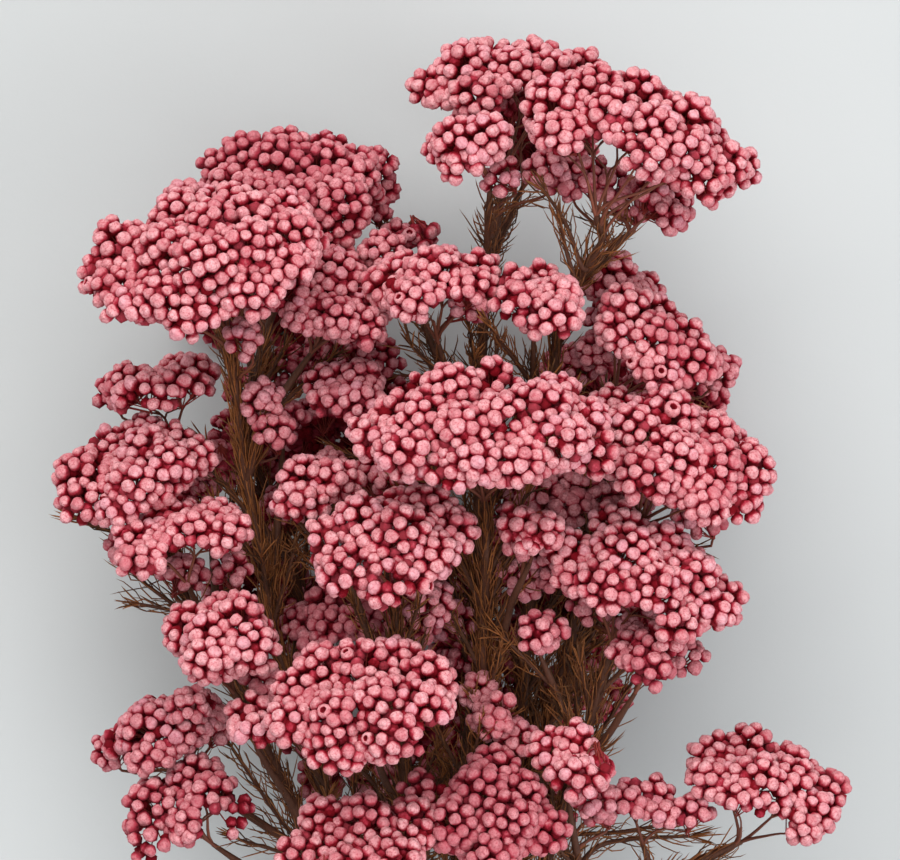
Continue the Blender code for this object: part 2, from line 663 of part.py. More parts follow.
def shoot_objects(heads, lines, planes, material, collection):
    """One object for each leafy shoot: its axis, branches, rays and needle leaves fused."""
    by_name = {head.name: head for head in heads}
    lines = [reaching(line, by_name[line.head], planes[line.head]) for line in lines]
    rays = {line.head: rays_of(line, by_name[line.head], planes[line.head], heads) for line in lines}
    stems = {}
    for shoot in SHOOTS:
        own = [line for line in lines if line.shoot == shoot.name]
        parts = [traced(line)[0] for line in own]
        for line in own:
            parts += [spread_along(start, end) for start, end in rays[line.head]]
        stems[shoot.name] = np.concatenate(parts)
    stubs = np.concatenate([spread_along(stub_of(s)[0], shoot_root(s)[0]) for s in SHOOTS])
    trunk = np.concatenate([stem_path()[0], stubs])
    leaves = {shoot.name: [] for shoot in SHOOTS}
    made = []
    for shoot in SHOOTS:
        own = [line for line in lines if line.shoot == shoot.name]
        taken = [trunk]
        for name in stems:
            if name != shoot.name:
                taken += [stems[name], *leaves[name]]
        taken = np.concatenate(taken)
        pieces = bpy.data.collections.new("shoot_pieces")
        bpy.context.scene.collection.children.link(pieces)
        bodies = []
        for line in own:
            rings = 1 if line.parent is None else 0
            bodies.append(tube("stem", line.points, line.radii, rings, pieces))
            for start, end in rays[line.head]:
                spike("ray", start, end, RAY_RADIUS, pieces)
            for root, end in needles_of(line, heads, taken):
                spike("needle", root, end, (NEEDLE_RADIUS, 0.0), pieces)
                leaves[shoot.name].append(spread_along(root, end))
        first = bodies[0]
        pieces.objects.unlink(first)
        collection.objects.link(first)
        first.name = "shoot_" + shoot.name
        first.data.name = first.name
        fused(first, pieces)
        first.data.materials.clear()
        first.data.materials.append(material)
        made.append(first)
    return made


def woody_stem(material, collection):
    """The woody main stem with a short flat-ended stub for each shoot."""
    points, radii = stem_path()
    keep = np.unique(np.round(np.linspace(0, len(points) - 1, STEM_SECTIONS)).astype(int))
    stem = tube("woody_stem", points[keep], radii[keep], 2, collection)
    pieces = bpy.data.collections.new("stub_pieces")
    bpy.context.scene.collection.children.link(pieces)
    for shoot in SHOOTS:
        if shoot.tier != "leader":
            base, way = stub_of(shoot)
            ends = np.array([base, base + way * STUB_LENGTH])
            tube("stub", ends, (STUB_RADIUS, STUB_RADIUS), 1, pieces)
    fused(stem, pieces)
    stem.data.materials.clear()
    stem.data.materials.append(material)
    return stem


def plain_material(name, colour, roughness):
    material = bpy.data.materials.new(name)
    material.use_nodes = True
    shader = material.node_tree.nodes["Principled BSDF"]
    shader.inputs["Base Color"].default_value = (*colour, 1.0)
    shader.inputs["Roughness"].default_value = roughness
    shader.inputs["Metallic"].default_value = 0.0
    return material


def centred(objects):
    """Everything hangs from one empty, moved so that the middle of the spray is at x = 0 and y = 0."""
    frame = bpy.data.objects.new("spray_middle", None)
    frame.hide_render = True
    objects[0].users_collection[0].objects.link(frame)
    bpy.context.view_layer.update()
    corners = np.concatenate([[np.array(o.matrix_world @ v.co) for v in o.data.vertices] for o in objects])
    middle = (corners.max(axis=0) + corners.min(axis=0)) / 2
    frame.location = (-middle[0], -middle[1], 0.0)
    for made in objects:
        made.parent = frame
    print("middle of the layout, mm:", np.round(middle[:2] / MM, 3))


def main():
    for old in list(bpy.data.objects):
        bpy.data.objects.remove(old)
    collection = bpy.data.collections.new(NAME)
    bpy.context.scene.collection.children.link(collection)
    heads = [seat(head) for head in HEADS]
    lines = grown_lines(heads)
    lines = lightened(bend_clear(lines, heads))
    planes = dividing_planes(heads)
    for head in heads:
        planes[head.name] += stem_planes(head, lines)
    pinks = {tone: plain_material("buds_" + tone, rgb, PINK_ROUGHNESS) for tone, rgb in PINKS.items()}
    leafy = plain_material("leafy_brown", LEAF_BROWN, LEAF_ROUGHNESS)
    bark = plain_material("bark", BARK_BROWN, BARK_ROUGHNESS)
    objects = [head_object(head, planes[head.name], pinks[head.tone], collection) for head in heads]
    objects += shoot_objects(heads, lines, planes, leafy, collection)
    objects.append(woody_stem(bark, collection))
    centred(objects)


main()
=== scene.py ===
"""The looks of the dried rice flower spray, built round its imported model.

Layout values are in millimetres, as in the construction: +Y runs up the stems, +Z faces the viewer.
"""

import json
import math
from collections import namedtuple

import bmesh
import bpy
import numpy as np
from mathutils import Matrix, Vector
from mathutils.bvhtree import BVHTree
from numpy.linalg import norm

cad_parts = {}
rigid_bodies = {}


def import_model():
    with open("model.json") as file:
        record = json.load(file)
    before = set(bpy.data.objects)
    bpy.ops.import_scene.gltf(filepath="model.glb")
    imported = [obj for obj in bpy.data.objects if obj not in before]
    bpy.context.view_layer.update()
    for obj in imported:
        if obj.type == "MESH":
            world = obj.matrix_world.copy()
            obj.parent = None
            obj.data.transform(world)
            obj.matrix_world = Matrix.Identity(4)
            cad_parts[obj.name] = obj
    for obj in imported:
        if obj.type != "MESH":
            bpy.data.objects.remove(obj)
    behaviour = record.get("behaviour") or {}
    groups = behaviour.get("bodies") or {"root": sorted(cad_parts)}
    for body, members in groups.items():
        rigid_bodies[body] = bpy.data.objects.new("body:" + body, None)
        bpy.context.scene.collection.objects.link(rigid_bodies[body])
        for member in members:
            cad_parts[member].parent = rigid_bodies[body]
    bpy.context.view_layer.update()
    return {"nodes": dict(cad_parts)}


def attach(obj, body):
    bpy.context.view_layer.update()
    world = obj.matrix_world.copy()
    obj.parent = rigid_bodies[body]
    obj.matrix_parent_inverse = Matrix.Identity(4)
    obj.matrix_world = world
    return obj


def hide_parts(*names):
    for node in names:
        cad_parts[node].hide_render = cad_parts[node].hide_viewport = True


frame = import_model()

MM = 0.001
GOLDEN_TURN = math.pi * (3.0 - math.sqrt(5.0))
FAR = 1e3

# The layout's middle, which lies at x = 0 and y = 0 in the row frame
MIDDLE = np.array([-0.383, -61.092, 0.0])

# The photo: millimetres a pixel at the height REFERENCE, from a camera EYE above the surface,
# its width in pixels, and the pixel of the layout's zero point
PHOTO_SCALE = 0.237
REFERENCE = 60.0
EYE = 900.0
PHOTO_WIDTH = 900.0
PHOTO_MIDDLE = (450.0, 500.0)

# The construction's own values, repeated so that every stem runs where its solid does
UNDER_DEPTH = 0.16
REST_SINK = 1.7
HUB_REACH = 0.5
HUB_EXTRA = 2.0
GAP = 0.3
STEM_STEP = 4.0
AXIS_RADIUS = (1.9, 1.1)
BRANCH_RADIUS = (1.1, 0.85)
BEND_ROUNDS = 80
BEND_TO_HEAD = 3.6
BEND_TO_STEM = 1.8
BEND_PUSH = 0.5
BEND_SMOOTH = 0.3
LONGEST_PUSH = 2.0
LOWEST_STEM = 1.0
STEM_CUT = (-4.0, -232.0, 30.0)
STEM_BEND = (2.0, -180.0, 42.0)
STEM_TOP = (0.0, -112.0, 50.0)
STEM_RADII = (4.8, 4.2, 3.0)
STEM_BEND_SHARE = 0.43
STUB_RADIUS = 2.1
STUB_LENGTH = 14.0
STUB_LEAN_DEGREES = 34.0
TIERS = {"leader": 1.0, "upper": 0.86, "lower": 0.70}
ASIDE = np.array([0.31, 0.17, 0.93])

# Buds, in millimetres: the least distance between two, the distance they settle at, their radius,
# how far their middles lie under the head's surface, and how near a neighbour presses on them;
# then how much painted shade darkens a bud toward crimson on the sides that face such a neighbour
BUD_LEAST = 2.4
BUD_APART = 2.92
BUD_RADIUS = 1.76
BUD_SINK = 0.9
CROWD_REACH = 4.4
CROWD = 7
LEAST_COMPANY = 3
PAINTED_NEIGHBOUR_SHADE = 0.95
# Candidates for buds: so many on each patch of the head's surface, and how they settle
PATCH = 9.0
POINTS_A_PATCH = 12
RIM_TUCK = 0.42
SETTLE_ROUNDS = 10
SETTLE_PUSH = 0.4
# Deeper buds that fill the holes between the others: how wide a hole, how far their shelter reaches
DEEP_LEAST = 2.2
DEEP_HOLE = 1.3
DEEP_RADIUS = 1.68
DEEP_SHELTER = 3.9
DEEP_LAYER = 2.2
# Small clusters in a head: their spacing, how much their middles stand out, and their rays' hub,
# then the share of bare ones at a rim that looks down or up
CLUSTER_APART = 10.5
CLUSTER_RISE = 1.9
CLUSTER_FALL = 4.8
CLUSTER_REACH = 8.0
CLUSTER_HUB = 8.5
CLUSTER_FOOT = 1.5
HUB_LEAN = 0.35
GROUP_APART = 15.0
EDGE_START = 0.4
BARE_BELOW = 0.26
BARE_ABOVE = 0.08
# A bud that would have to be lifted further off the floor is left out
LONGEST_LIFT = 2.6
# The share of opened buds, and under which height the plainer form is enough
OPENED_SHARE = 0.007
PLAIN_BELOW = 45.0
HIDDEN_BELOW = 48.0
# Directions in which the solid's surface is measured, and how widely they are blended
SURFACE_WAYS = 500
SURFACE_BLEND = 3.2

# Kinds of stalk in a leafy piece, which its material tells apart
STEM, RAY, FINE_RAY, PEDICEL, LEAF = 0.0, 0.35, 0.4, 0.5, 1.0
RING_STEP = 1.8
BLADE_SIDES = 3
# Shares of the length, and the share of the radius at each
LEAF_BUILD = ((0.0, 0.36, 0.78, 1.0), (0.8, 1.0, 0.85, 0.0))
PEDICEL_BUILD = ((0.0, 1.0), (1.0, 0.85))
PEDICEL_RADIUS = 0.2
LEAF_RADIUS = 0.2
LEAF_CURL = 0.75
LEAF_FROM_HEAD = 0.4
LEAF_FROM_FLOOR = 0.5
TUFT = 7

# A head leaves its shoot at the share fork of its length, and turn and lean are in degrees
# A head's tone picks its bud material: deep is a darker copy of bright, painted shade
Head = namedtuple("Head", "name shoot fork centre size turn lean tone")
Shoot = namedtuple("Shoot", "name tier around via")
Line = namedtuple("Line", "shoot head points radii parent joint")
Flower = namedtuple("Flower", "head places outs sizes clusters hubs owner groups under under_outs")
Cluster = namedtuple("Cluster", "shoot root foot at out radius")

SHOOTS = [Shoot(*row) for row in (
    ("top_a", "leader", 0, ((5, -60, 50), (7, 10, 52), (8, 55, 60))),
    ("top_b", "upper", 25, ((16, -60, 48), (22, 10, 54), (28, 46, 62))),
    ("centre", "upper", 75, ((5, -80, 60), (9, -30, 76))),
    ("front", "upper", 125, ((-8, -85, 62), (-13, -50, 70))),
    ("left_top", "upper", 175, ((-28, -78, 56), (-42, -20, 62), (-51, 20, 66))),
    ("back_left", "upper", 225, ((-20, -70, 36), (-44, -5, 36))),
    ("back_right", "upper", 290, ((18, -70, 38), (38, -20, 38))),
    ("right_high", "upper", 340, ((22, -60, 50), (36, -4, 58))),
    ("left_low", "lower", 150, ((-26, -98, 62), (-42, -66, 72))),
    ("left_mid", "lower", 200, ((-34, -80, 50), (-58, -34, 54))),
    ("base_front", "lower", 95, ((3, -100, 68),)),
    ("right", "lower", 40, ((22, -84, 60), (33, -55, 70))),
    ("right_low", "lower", 345, ((30, -98, 60), (54, -88, 66))),
)]
HEADS = [Head(*row) for row in (
    ("crown_left", "top_a", 1.0, (14.5, 95.5, 58), (23, 18, 13), 3, 28, "bright"),
    ("crown_low", "top_a", 0.82, (6, 81, 80), (12, 11, 9), -25, 38, "bright"),
    ("crown_right", "top_b", 1.0, (40.5, 79.5, 86), (28, 21, 18), 15, 18, "bright"),
    ("crown_tip", "top_b", 0.84, (48, 68, 70), (9, 8, 8), 50, 12, "deep"),
    ("left_rear", "left_top", 0.86, (-36.5, 71, 54), (24, 20, 15), 8, 32, "deep"),
    ("left_front", "left_top", 1.0, (-55, 54, 90), (29, 21, 14), -13, 42, "bright"),
    ("left_under", "left_top", 0.82, (-29, 46, 76), (18, 16, 10), 15, 40, "deep"),
    ("mid_dark", "top_a", 0.62, (-11, 62, 44), (8, 8, 7), 0, 15, "deep"),
    ("mid_left", "top_a", 0.58, (-4, 48, 82), (16, 14, 9), -6, 32, "bright"),
    ("mid_right", "top_b", 0.60, (21, 45, 84), (12, 12, 10), 12, 36, "bright"),
    ("right_high", "top_b", 0.68, (39.5, 49, 55), (13, 11, 9), 14, 28, "bright"),
    ("right_slope", "right_high", 1.0, (46.5, 34.5, 68), (19, 15, 12), 36, 28, "bright"),
    ("centre_front", "centre", 1.0, (8, 14.5, 100), (30, 18, 13), 0, 46, "bright"),
    ("centre_left", "centre", 0.80, (-21.5, 24, 70), (12, 11, 9), -12, 34, "deep"),
    ("right_front", "right_high", 0.74, (50.5, 9, 80), (25, 19, 13), 22, 36, "bright"),
    ("centre_small", "centre", 0.60, (19, -8, 92), (9, 8, 7), 6, 42, "bright"),
    ("right_low", "right", 1.0, (43.5, -19, 83), (25, 16, 13), 22, 38, "bright"),
    ("right_under", "right", 0.66, (45, -37, 84), (11, 10, 9), 16, 34, "deep"),
    ("left_flat", "left_mid", 0.84, (-68, 25.5, 58), (16, 14, 9), -8, 14, "bright"),
    ("left_outer", "left_mid", 1.0, (-73.5, 4.5, 72), (19, 18, 11), -16, 36, "bright"),
    ("left_inner", "left_mid", 0.74, (-57, 7, 48), (10, 9, 8), 5, 34, "deep"),
    ("left_mid", "left_mid", 0.60, (-62.5, -9.5, 82), (18, 13, 9), -8, 40, "bright"),
    ("gap_left", "left_top", 0.60, (-41, 18.5, 58), (8, 8, 7), -10, 28, "deep"),
    ("inner_left", "front", 0.74, (-30, 2.5, 76), (13, 11, 9), -8, 40, "bright"),
    ("inner_front", "front", 1.0, (-14, -10, 90), (20, 17, 11), -6, 44, "bright"),
    ("inner_dark", "front", 0.66, (-17, -28, 60), (20, 12, 9), -4, 36, "deep"),
    ("low_left", "left_low", 1.0, (-52, -35, 88), (15, 13, 11), -12, 42, "bright"),
    ("low_left_tip", "left_low", 0.72, (-45, -51, 91), (9, 8, 6), -5, 46, "bright"),
    ("low_front", "front", 0.42, (-17, -46.5, 102), (24, 18, 12), 0, 48, "bright"),
    ("low_small", "right", 0.76, (22, -31, 84), (8, 8, 6), 10, 44, "deep"),
    ("corner_high", "left_low", 0.56, (-66, -55.5, 62), (18, 13, 8), -22, 32, "deep"),
    ("corner_low", "left_low", 0.36, (-60, -72, 70), (17, 15, 9), -22, 40, "deep"),
    ("base_left", "base_front", 0.50, (-20, -79, 96), (18, 14, 9), -8, 48, "bright"),
    ("base_front", "base_front", 1.0, (8, -73, 88), (19, 16, 12), 5, 50, "deep"),
    ("base_right", "right_low", 0.50, (29, -61, 88), (11, 10, 10), 12, 42, "bright"),
    ("gap_small", "base_front", 0.70, (11, -50, 80), (7, 7, 6), 0, 46, "bright"),
    ("chain", "right_low", 0.72, (48, -71, 76), (15, 7, 5), 16, 34, "deep"),
    ("corner_right", "right_low", 1.0, (74, -69, 72), (20, 15, 10), 24, 34, "bright"),
    ("back_left", "back_left", 1.0, (-47, 53, 0), (25, 20, 12), -12, -50, "deep"),
    ("back_left_low", "back_left", 0.62, (-48, -24, 29), (17, 14, 9), -20, -42, "deep"),
    ("back_low", "back_left", 0.34, (0, -60, 0), (22, 18, 10), 0, -58, "deep"),
    ("back_high", "top_a", 0.86, (18, 88, 33), (19, 15, 9), 2, -30, "deep"),
    ("back_right", "back_right", 1.0, (48, 18, 0), (24, 20, 12), 14, -50, "deep"),
    ("back_right_low", "back_right", 0.60, (33, -28, 29), (19, 15, 10), 12, -42, "deep"),
    ("back_centre", "back_left", 0.70, (-19, 12, 31), (27, 19, 12), -4, -46, "deep"),
)]
RESTING = ("back_left", "back_low", "back_right")


def unit(v):
    v = np.asarray(v, float)
    return v / np.maximum(norm(v, axis=-1, keepdims=True), 1e-12)


def head_axes(head):
    """The head's own directions as rows: across, deep and out of its dome."""
    turn = math.radians(head.turn)
    lean = math.radians(head.lean)
    across = np.array([math.cos(turn), -math.sin(turn), 0.0])
    out = np.array([math.sin(turn) * math.cos(lean), math.cos(turn) * math.cos(lean), math.sin(lean)])
    return np.array([across, np.cross(out, across), out])


def head_scale(head, above):
    wide, deep, dome = head.size
    height = np.where(above, dome, UNDER_DEPTH * wide)
    return np.stack([np.full_like(height, wide), np.full_like(height, deep), height], axis=-1)


def seat(head):
    if head.name not in RESTING:
        return head
    local = head_axes(head) @ np.array([0.0, 0.0, -1.0])
    reach = norm(local * head_scale(head, local[2] > 0))
    return head._replace(centre=(head.centre[0], head.centre[1], reach - REST_SINK))


def hub(head):
    """Where the head's rays leave its branch."""
    below = UNDER_DEPTH * head.size[0] + HUB_REACH * head.size[0] + HUB_EXTRA
    return np.array(head.centre) - below * head_axes(head)[2]


def near_head(head, points):
    """Roughly how far each point is from the plain head, less than 0 inside, and the way out."""
    axes = head_axes(head)
    local = (points - np.array(head.centre)) @ axes.T
    scale = head_scale(head, local[:, 2] > 0)
    q = local / scale
    size = np.maximum(norm(q, axis=1, keepdims=True), 1e-6)
    slope = (q / size / scale) @ axes
    steep = norm(slope, axis=1, keepdims=True)
    return ((size - 1.0) / steep)[:, 0], slope / steep


def around_a_ball(z, turns):
    r = np.sqrt(1.0 - z * z)
    return np.stack([r * np.cos(turns), r * np.sin(turns), z], axis=1)


def even_directions(count):
    i = np.arange(count) + 0.5
    return around_a_ball(1.0 - 2.0 * i / count, i * GOLDEN_TURN)


def smooth_curve(stops, first, last, step):
    """Points every step or so on a smooth curve through the stops, with given end directions."""
    stops = np.array(stops, float)
    spans = norm(np.diff(stops, axis=0), axis=1)
    slopes = [unit(first) * spans[0]]
    for i in range(1, len(stops) - 1):
        slopes.append((stops[i + 1] - stops[i - 1]) * 0.5)
    slopes.append(unit(last) * spans[-1])
    points = [stops[:1]]
    for i, span in enumerate(spans):
        t = np.linspace(0.0, 1.0, max(2, round(span / step)) + 1)[1:, None]
        start = (2 * t ** 3 - 3 * t ** 2 + 1) * stops[i] + (t ** 3 - 2 * t ** 2 + t) * slopes[i]
        end = (3 * t ** 2 - 2 * t ** 3) * stops[i + 1] + (t ** 3 - t ** 2) * slopes[i + 1]
        points.append(start + end)
    return np.concatenate(points)


def spans_of(points):
    return norm(np.diff(points, axis=0), axis=1)


def along_of(points):
    """How far along its path each point lies."""
    return np.concatenate([[0.0], np.cumsum(spans_of(points))])


def stem_path():
    first = np.array(STEM_BEND) - np.array(STEM_CUT)
    last = np.array(STEM_TOP) - np.array(STEM_BEND)
    points = smooth_curve([STEM_CUT, STEM_BEND, STEM_TOP], first, last, 10.0)
    along = np.linspace(0.0, 1.0, len(points))
    return points, np.interp(along, [0.0, STEM_BEND_SHARE, 1.0], STEM_RADII)


def stub_of(shoot):
    """Where a shoot's stub starts inside the woody stem, and its direction."""
    points, _ = stem_path()
    at = TIERS[shoot.tier] * (len(points) - 1)
    k = min(int(at), len(points) - 2)
    base = points[k] + (points[k + 1] - points[k]) * (at - k)
    along = unit(points[k + 1] - points[k])
    if shoot.tier == "leader":
        return base, along
    around = math.radians(shoot.around)
    side = np.array([math.cos(around), 0.0, math.sin(around)])
    side = unit(side - along * (side @ along))
    lean = math.radians(STUB_LEAN_DEGREES)
    return base, along * math.cos(lean) + side * math.sin(lean)


def grown_lines(heads):
    """Each shoot's axis, then a branch to each of its other heads, before they are bent clear."""
    lines = []
    for shoot in SHOOTS:
        own = [head for head in heads if head.shoot == shoot.name]
        top = next(head for head in own if head.fork == 1.0)
        base, way = stub_of(shoot)
        root = base + way * ((0.0 if shoot.tier == "leader" else STUB_LENGTH) + GAP)
        first = root + way * STEM_STEP
        points = smooth_curve([first, *shoot.via, hub(top)], way, head_axes(top)[2], STEM_STEP)
        points = np.concatenate([[root], points])
        axis = len(lines)
        lines.append(Line(shoot.name, top.name, points, np.linspace(*AXIS_RADIUS, len(points)), None, 0))
        for head in own:
            if head is top:
                continue
            joint = round(head.fork * (len(points) - 1))
            along = points[joint + 1] - points[joint - 1]
            branch = smooth_curve([points[joint], hub(head)], along, head_axes(head)[2], STEM_STEP)
            radii = np.linspace(*BRANCH_RADIUS, len(branch))
            lines.append(Line(shoot.name, head.name, branch, radii, axis, joint))
    return lines


def bend_clear(lines, heads):
    """Stems bent gently aside where they would pass through a head or another shoot."""
    owner = np.concatenate([[i] * len(line.points) for i, line in enumerate(lines)])
    shoot = np.array([lines[i].shoot for i in owner])
    radii = np.concatenate([line.radii for line in lines])
    starts = np.concatenate([[0], np.cumsum([len(line.points) for line in lines])])
    fixed = np.zeros(len(owner), bool)
    for i, line in enumerate(lines):
        fixed[starts[i + 1] - 1] = True
        fixed[starts[i]:starts[i] + (3 if line.parent is None else 1)] = True
    at = np.concatenate([line.points for line in lines])
    others = shoot[:, None] != shoot[None, :]
    room = radii[:, None] + radii[None, :] + BEND_TO_STEM
    inner = np.ones(len(at), bool)
    inner[starts[:-1]] = False
    inner[starts[1:] - 1] = False
    k = np.flatnonzero(inner)
    for _ in range(BEND_ROUNDS):
        push = np.zeros_like(at)
        for head in heads:
            distance, out = near_head(head, at)
            short = np.maximum(radii + BEND_TO_HEAD - distance, 0.0)
            push += BEND_PUSH * np.minimum(short, LONGEST_PUSH)[:, None] * out
        away = at[:, None] - at[None, :]
        length = norm(away, axis=2) + 1e-9
        short = np.where(others, np.maximum(room - length, 0.0), 0.0)
        push += BEND_PUSH * ((short / length)[:, :, None] * away).sum(axis=1)
        push[k] += BEND_SMOOTH * ((at[k - 1] + at[k + 1]) / 2 - at[k])
        push[fixed] = 0.0
        at = at + push
        at[:, 2] = np.maximum(at[:, 2], radii + LOWEST_STEM)
        for i, line in enumerate(lines):
            if line.parent is not None:
                at[starts[i]] = at[starts[line.parent] + line.joint]
    return [line._replace(points=at[starts[i]:starts[i + 1]]) for i, line in enumerate(lines)]


def refined(points, radii, step=RING_STEP):
    """The same stem on a smooth curve through its points, with a ring every step or so."""
    fine = smooth_curve(points, points[1] - points[0], points[-1] - points[-2], step)
    along, marks = (along_of(path) / spans_of(path).sum() for path in (fine, points))
    return fine, np.interp(along, marks, radii)


def photo_point(px, py, z):
    """The place in the layout that shows at a pixel of the photo, at the height z."""
    k = (EYE - z) / (EYE - REFERENCE)
    return np.array([(px - PHOTO_MIDDLE[0]) * PHOTO_SCALE * k, (PHOTO_MIDDLE[1] - py) * PHOTO_SCALE * k, z])


def clear_of(heads, points):
    return min(near_head(head, points)[0].min() for head in heads)


def placed(name, data):
    made = bpy.data.objects.new(name, data)
    bpy.context.scene.collection.objects.link(made)
    return made


class Pile:
    """Vertices and triangles of one piece, with a tone, a height, a kind and its own coordinates each."""

    def __init__(self):
        self.rows = []
        self.count = 0

    def add(self, verts, faces, tone, tip, kind, own):
        values = [np.broadcast_to(value, len(verts)) for value in (tone, tip, kind)]
        self.rows.append((verts, faces + self.count, *values, own))
        self.count += len(verts)

    def piece(self, name, material, nodes):
        verts, faces, tone, tip, kind, own = (np.concatenate(column) for column in zip(*self.rows))
        mesh = bpy.data.meshes.new(name)
        mesh.vertices.add(len(verts))
        mesh.vertices.foreach_set("co", ((verts - MIDDLE) * MM).astype(np.float32).ravel())
        mesh.loops.add(faces.size)
        mesh.loops.foreach_set("vertex_index", faces.astype(np.int32).ravel())
        mesh.polygons.add(len(faces))
        mesh.polygons.foreach_set("loop_start", np.arange(0, faces.size, 3, dtype=np.int32))
        mesh.polygons.foreach_set("use_smooth", np.ones(len(faces), bool))
        for key, values in (("tone", tone), ("tip", tip), ("kind", kind)):
            mesh.attributes.new(key, "FLOAT", "POINT").data.foreach_set("value", values.astype(np.float32))
        own = own.astype(np.float32).ravel()
        mesh.attributes.new("own", "FLOAT_VECTOR", "POINT").data.foreach_set("vector", own)
        mesh.materials.append(material)
        mesh.update(calc_edges=True)
        made = placed(name, mesh)
        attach(made, "root")
        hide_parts(*nodes)


def ball_of(subdivisions):
    """The points, triangles and heights of an even ball with a radius of 1."""
    bm = bmesh.new()
    bmesh.ops.create_icosphere(bm, subdivisions=subdivisions, radius=1.0)
    ball = np.array([v.co for v in bm.verts])
    faces = np.array([[v.index for v in f.verts] for f in bm.faces])
    bm.free()
    return ball, faces, ball[:, 2]


# How much each bud form is drawn up, and how much its lower half is pinched
BUD_FORMS = ((1.04, 0.10), (1.0, 0.16), (1.1, 0.20), (0.96, 0.08),
             (1.06, 0.14), (0.94, 0.06), (1.12, 0.24), (1.0, 0.12))


def bud_shapes():
    """Bud forms with a radius of 1: balls with a few blunt bracts, some pinched, some drawn up."""
    ball, faces, heights = ball_of(2)
    forms = []
    for k, (tall, pinch) in enumerate(BUD_FORMS):
        rng = np.random.default_rng(100 + k)
        bracts = unit(rng.normal(size=(9, 3)))
        reach = (ball @ bracts.T).max(axis=1)
        size = 0.86 + 0.17 * np.clip((reach - 0.70) / 0.30, 0.0, 1.0)
        size = size + rng.uniform(-0.05, 0.05, len(ball))
        form = ball * size[:, None]
        form[:, 2] *= tall
        form[:, :2] *= (1.0 - pinch * np.clip(-form[:, 2], 0, 1))[:, None]
        forms.append((form, faces, heights))
    return forms


def ring_faces(rings, sides, first=0):
    """Triangles between the rings of a tube whose points start at the index first."""
    faces = []
    for k in range(rings - 1):
        for s in range(sides):
            a = first + k * sides + s
            b = first + k * sides + (s + 1) % sides
            faces += [(a, b, b + sides), (a, b + sides, a + sides)]
    return faces


def opened_shape():
    """A bud whose bracts have opened round a hollow, its inside painted darkest crimson as shade."""
    profile = ((0.55, -0.8), (0.95, -0.2), (0.98, 0.3), (0.78, 0.78), (0.5, 0.86), (0.36, 0.55), (0.3, 0.2))
    sides, lobes, hollow = 9, 4.0, -1.6
    verts, tips = [(0.0, 0.0, -1.0)], [-1.0]
    for r, z in profile:
        for s in range(sides):
            a = 2 * math.pi * s / sides
            lift = 0.06 * math.cos(a * lobes) if z > 0.5 else 0.0
            verts.append((r * math.cos(a), r * math.sin(a), z + lift))
            # Painted shade: the hollow's inside gets the lowest tip, the darkest crimson
            tips.append(z if r > 0.45 else hollow)
    last = len(verts) - sides
    verts.append((0.0, 0.0, 0.1))
    tips.append(hollow)
    faces = ring_faces(len(profile), sides, 1)
    for s in range(sides):
        after = (s + 1) % sides
        faces += [(0, 1 + after, 1 + s), (last + s, last + after, len(verts) - 1)]
    return np.array(verts), np.array(faces), np.array(tips)


FORMS = bud_shapes()
OPENED = opened_shape()
SMALL = ball_of(1)


def frames_of(out, rng):
    """For each direction, three rows: two sides at a random turn, and the direction."""
    side = unit(np.cross(out, ASIDE))
    other = np.cross(out, side)
    turn = rng.uniform(0.0, 2.0 * math.pi, len(out))[:, None]
    first = side * np.cos(turn) + other * np.sin(turn)
    return np.stack([first, np.cross(out, first), out], axis=1)


def crowd_of(places):
    """The way from each place to its seven nearest ones, or nothing where they lie far off."""
    away = places[None] - places[:, None]
    length = norm(away, axis=2) + np.eye(len(places)) * FAR
    near = np.argsort(length, axis=1)[:, :CROWD]
    ways = np.take_along_axis(away, near[:, :, None], axis=1)
    length = np.take_along_axis(length, near, axis=1)
    return ways / length[:, :, None] * (length < CROWD_REACH)[:, :, None]


def strew(pile, form, places, outs, sizes, tones, painted_shade, rng, crowd):
    """Copies of one form at the places, pointing out, with painted shade: lower tips, so more crimson, by the
    given amount and where neighbours press on them.
    """
    if len(places) == 0:
        return
    verts, faces, tips = form
    sized = verts[None] * sizes[:, None, None]
    turned = sized @ frames_of(outs, rng)
    own = sized + rng.uniform(0.0, 400.0, (len(places), 1, 3))
    steps = np.arange(len(places))[:, None, None] * len(verts)
    toward_neighbour = np.einsum("nvc,nkc->nvk", unit(turned), crowd).max(axis=2).ravel()
    tip = np.tile(tips, len(places)) - np.repeat(np.broadcast_to(painted_shade, len(places)), len(verts))
    # Painted shade: crimson on the sides that face a close neighbour
    tip = tip - PAINTED_NEIGHBOUR_SHADE * np.clip((toward_neighbour - 0.45) / 0.5, 0.0, 1.0)
    pile.add((turned + places[:, None]).reshape(-1, 3), (faces[None] + steps).reshape(-1, 3),
             np.repeat(tones, len(verts)), tip, 0.0, own.reshape(-1, 3))


def strew_kinds(pile, forms, kinds, places, outs, sizes, tones, painted_shade, rng):
    """At each place the form that its kind says."""
    crowd = crowd_of(places)
    for k, form in enumerate(forms):
        own = kinds == k
        strew(pile, form, places[own], outs[own], sizes[own], tones[own], painted_shade, rng, crowd[own])


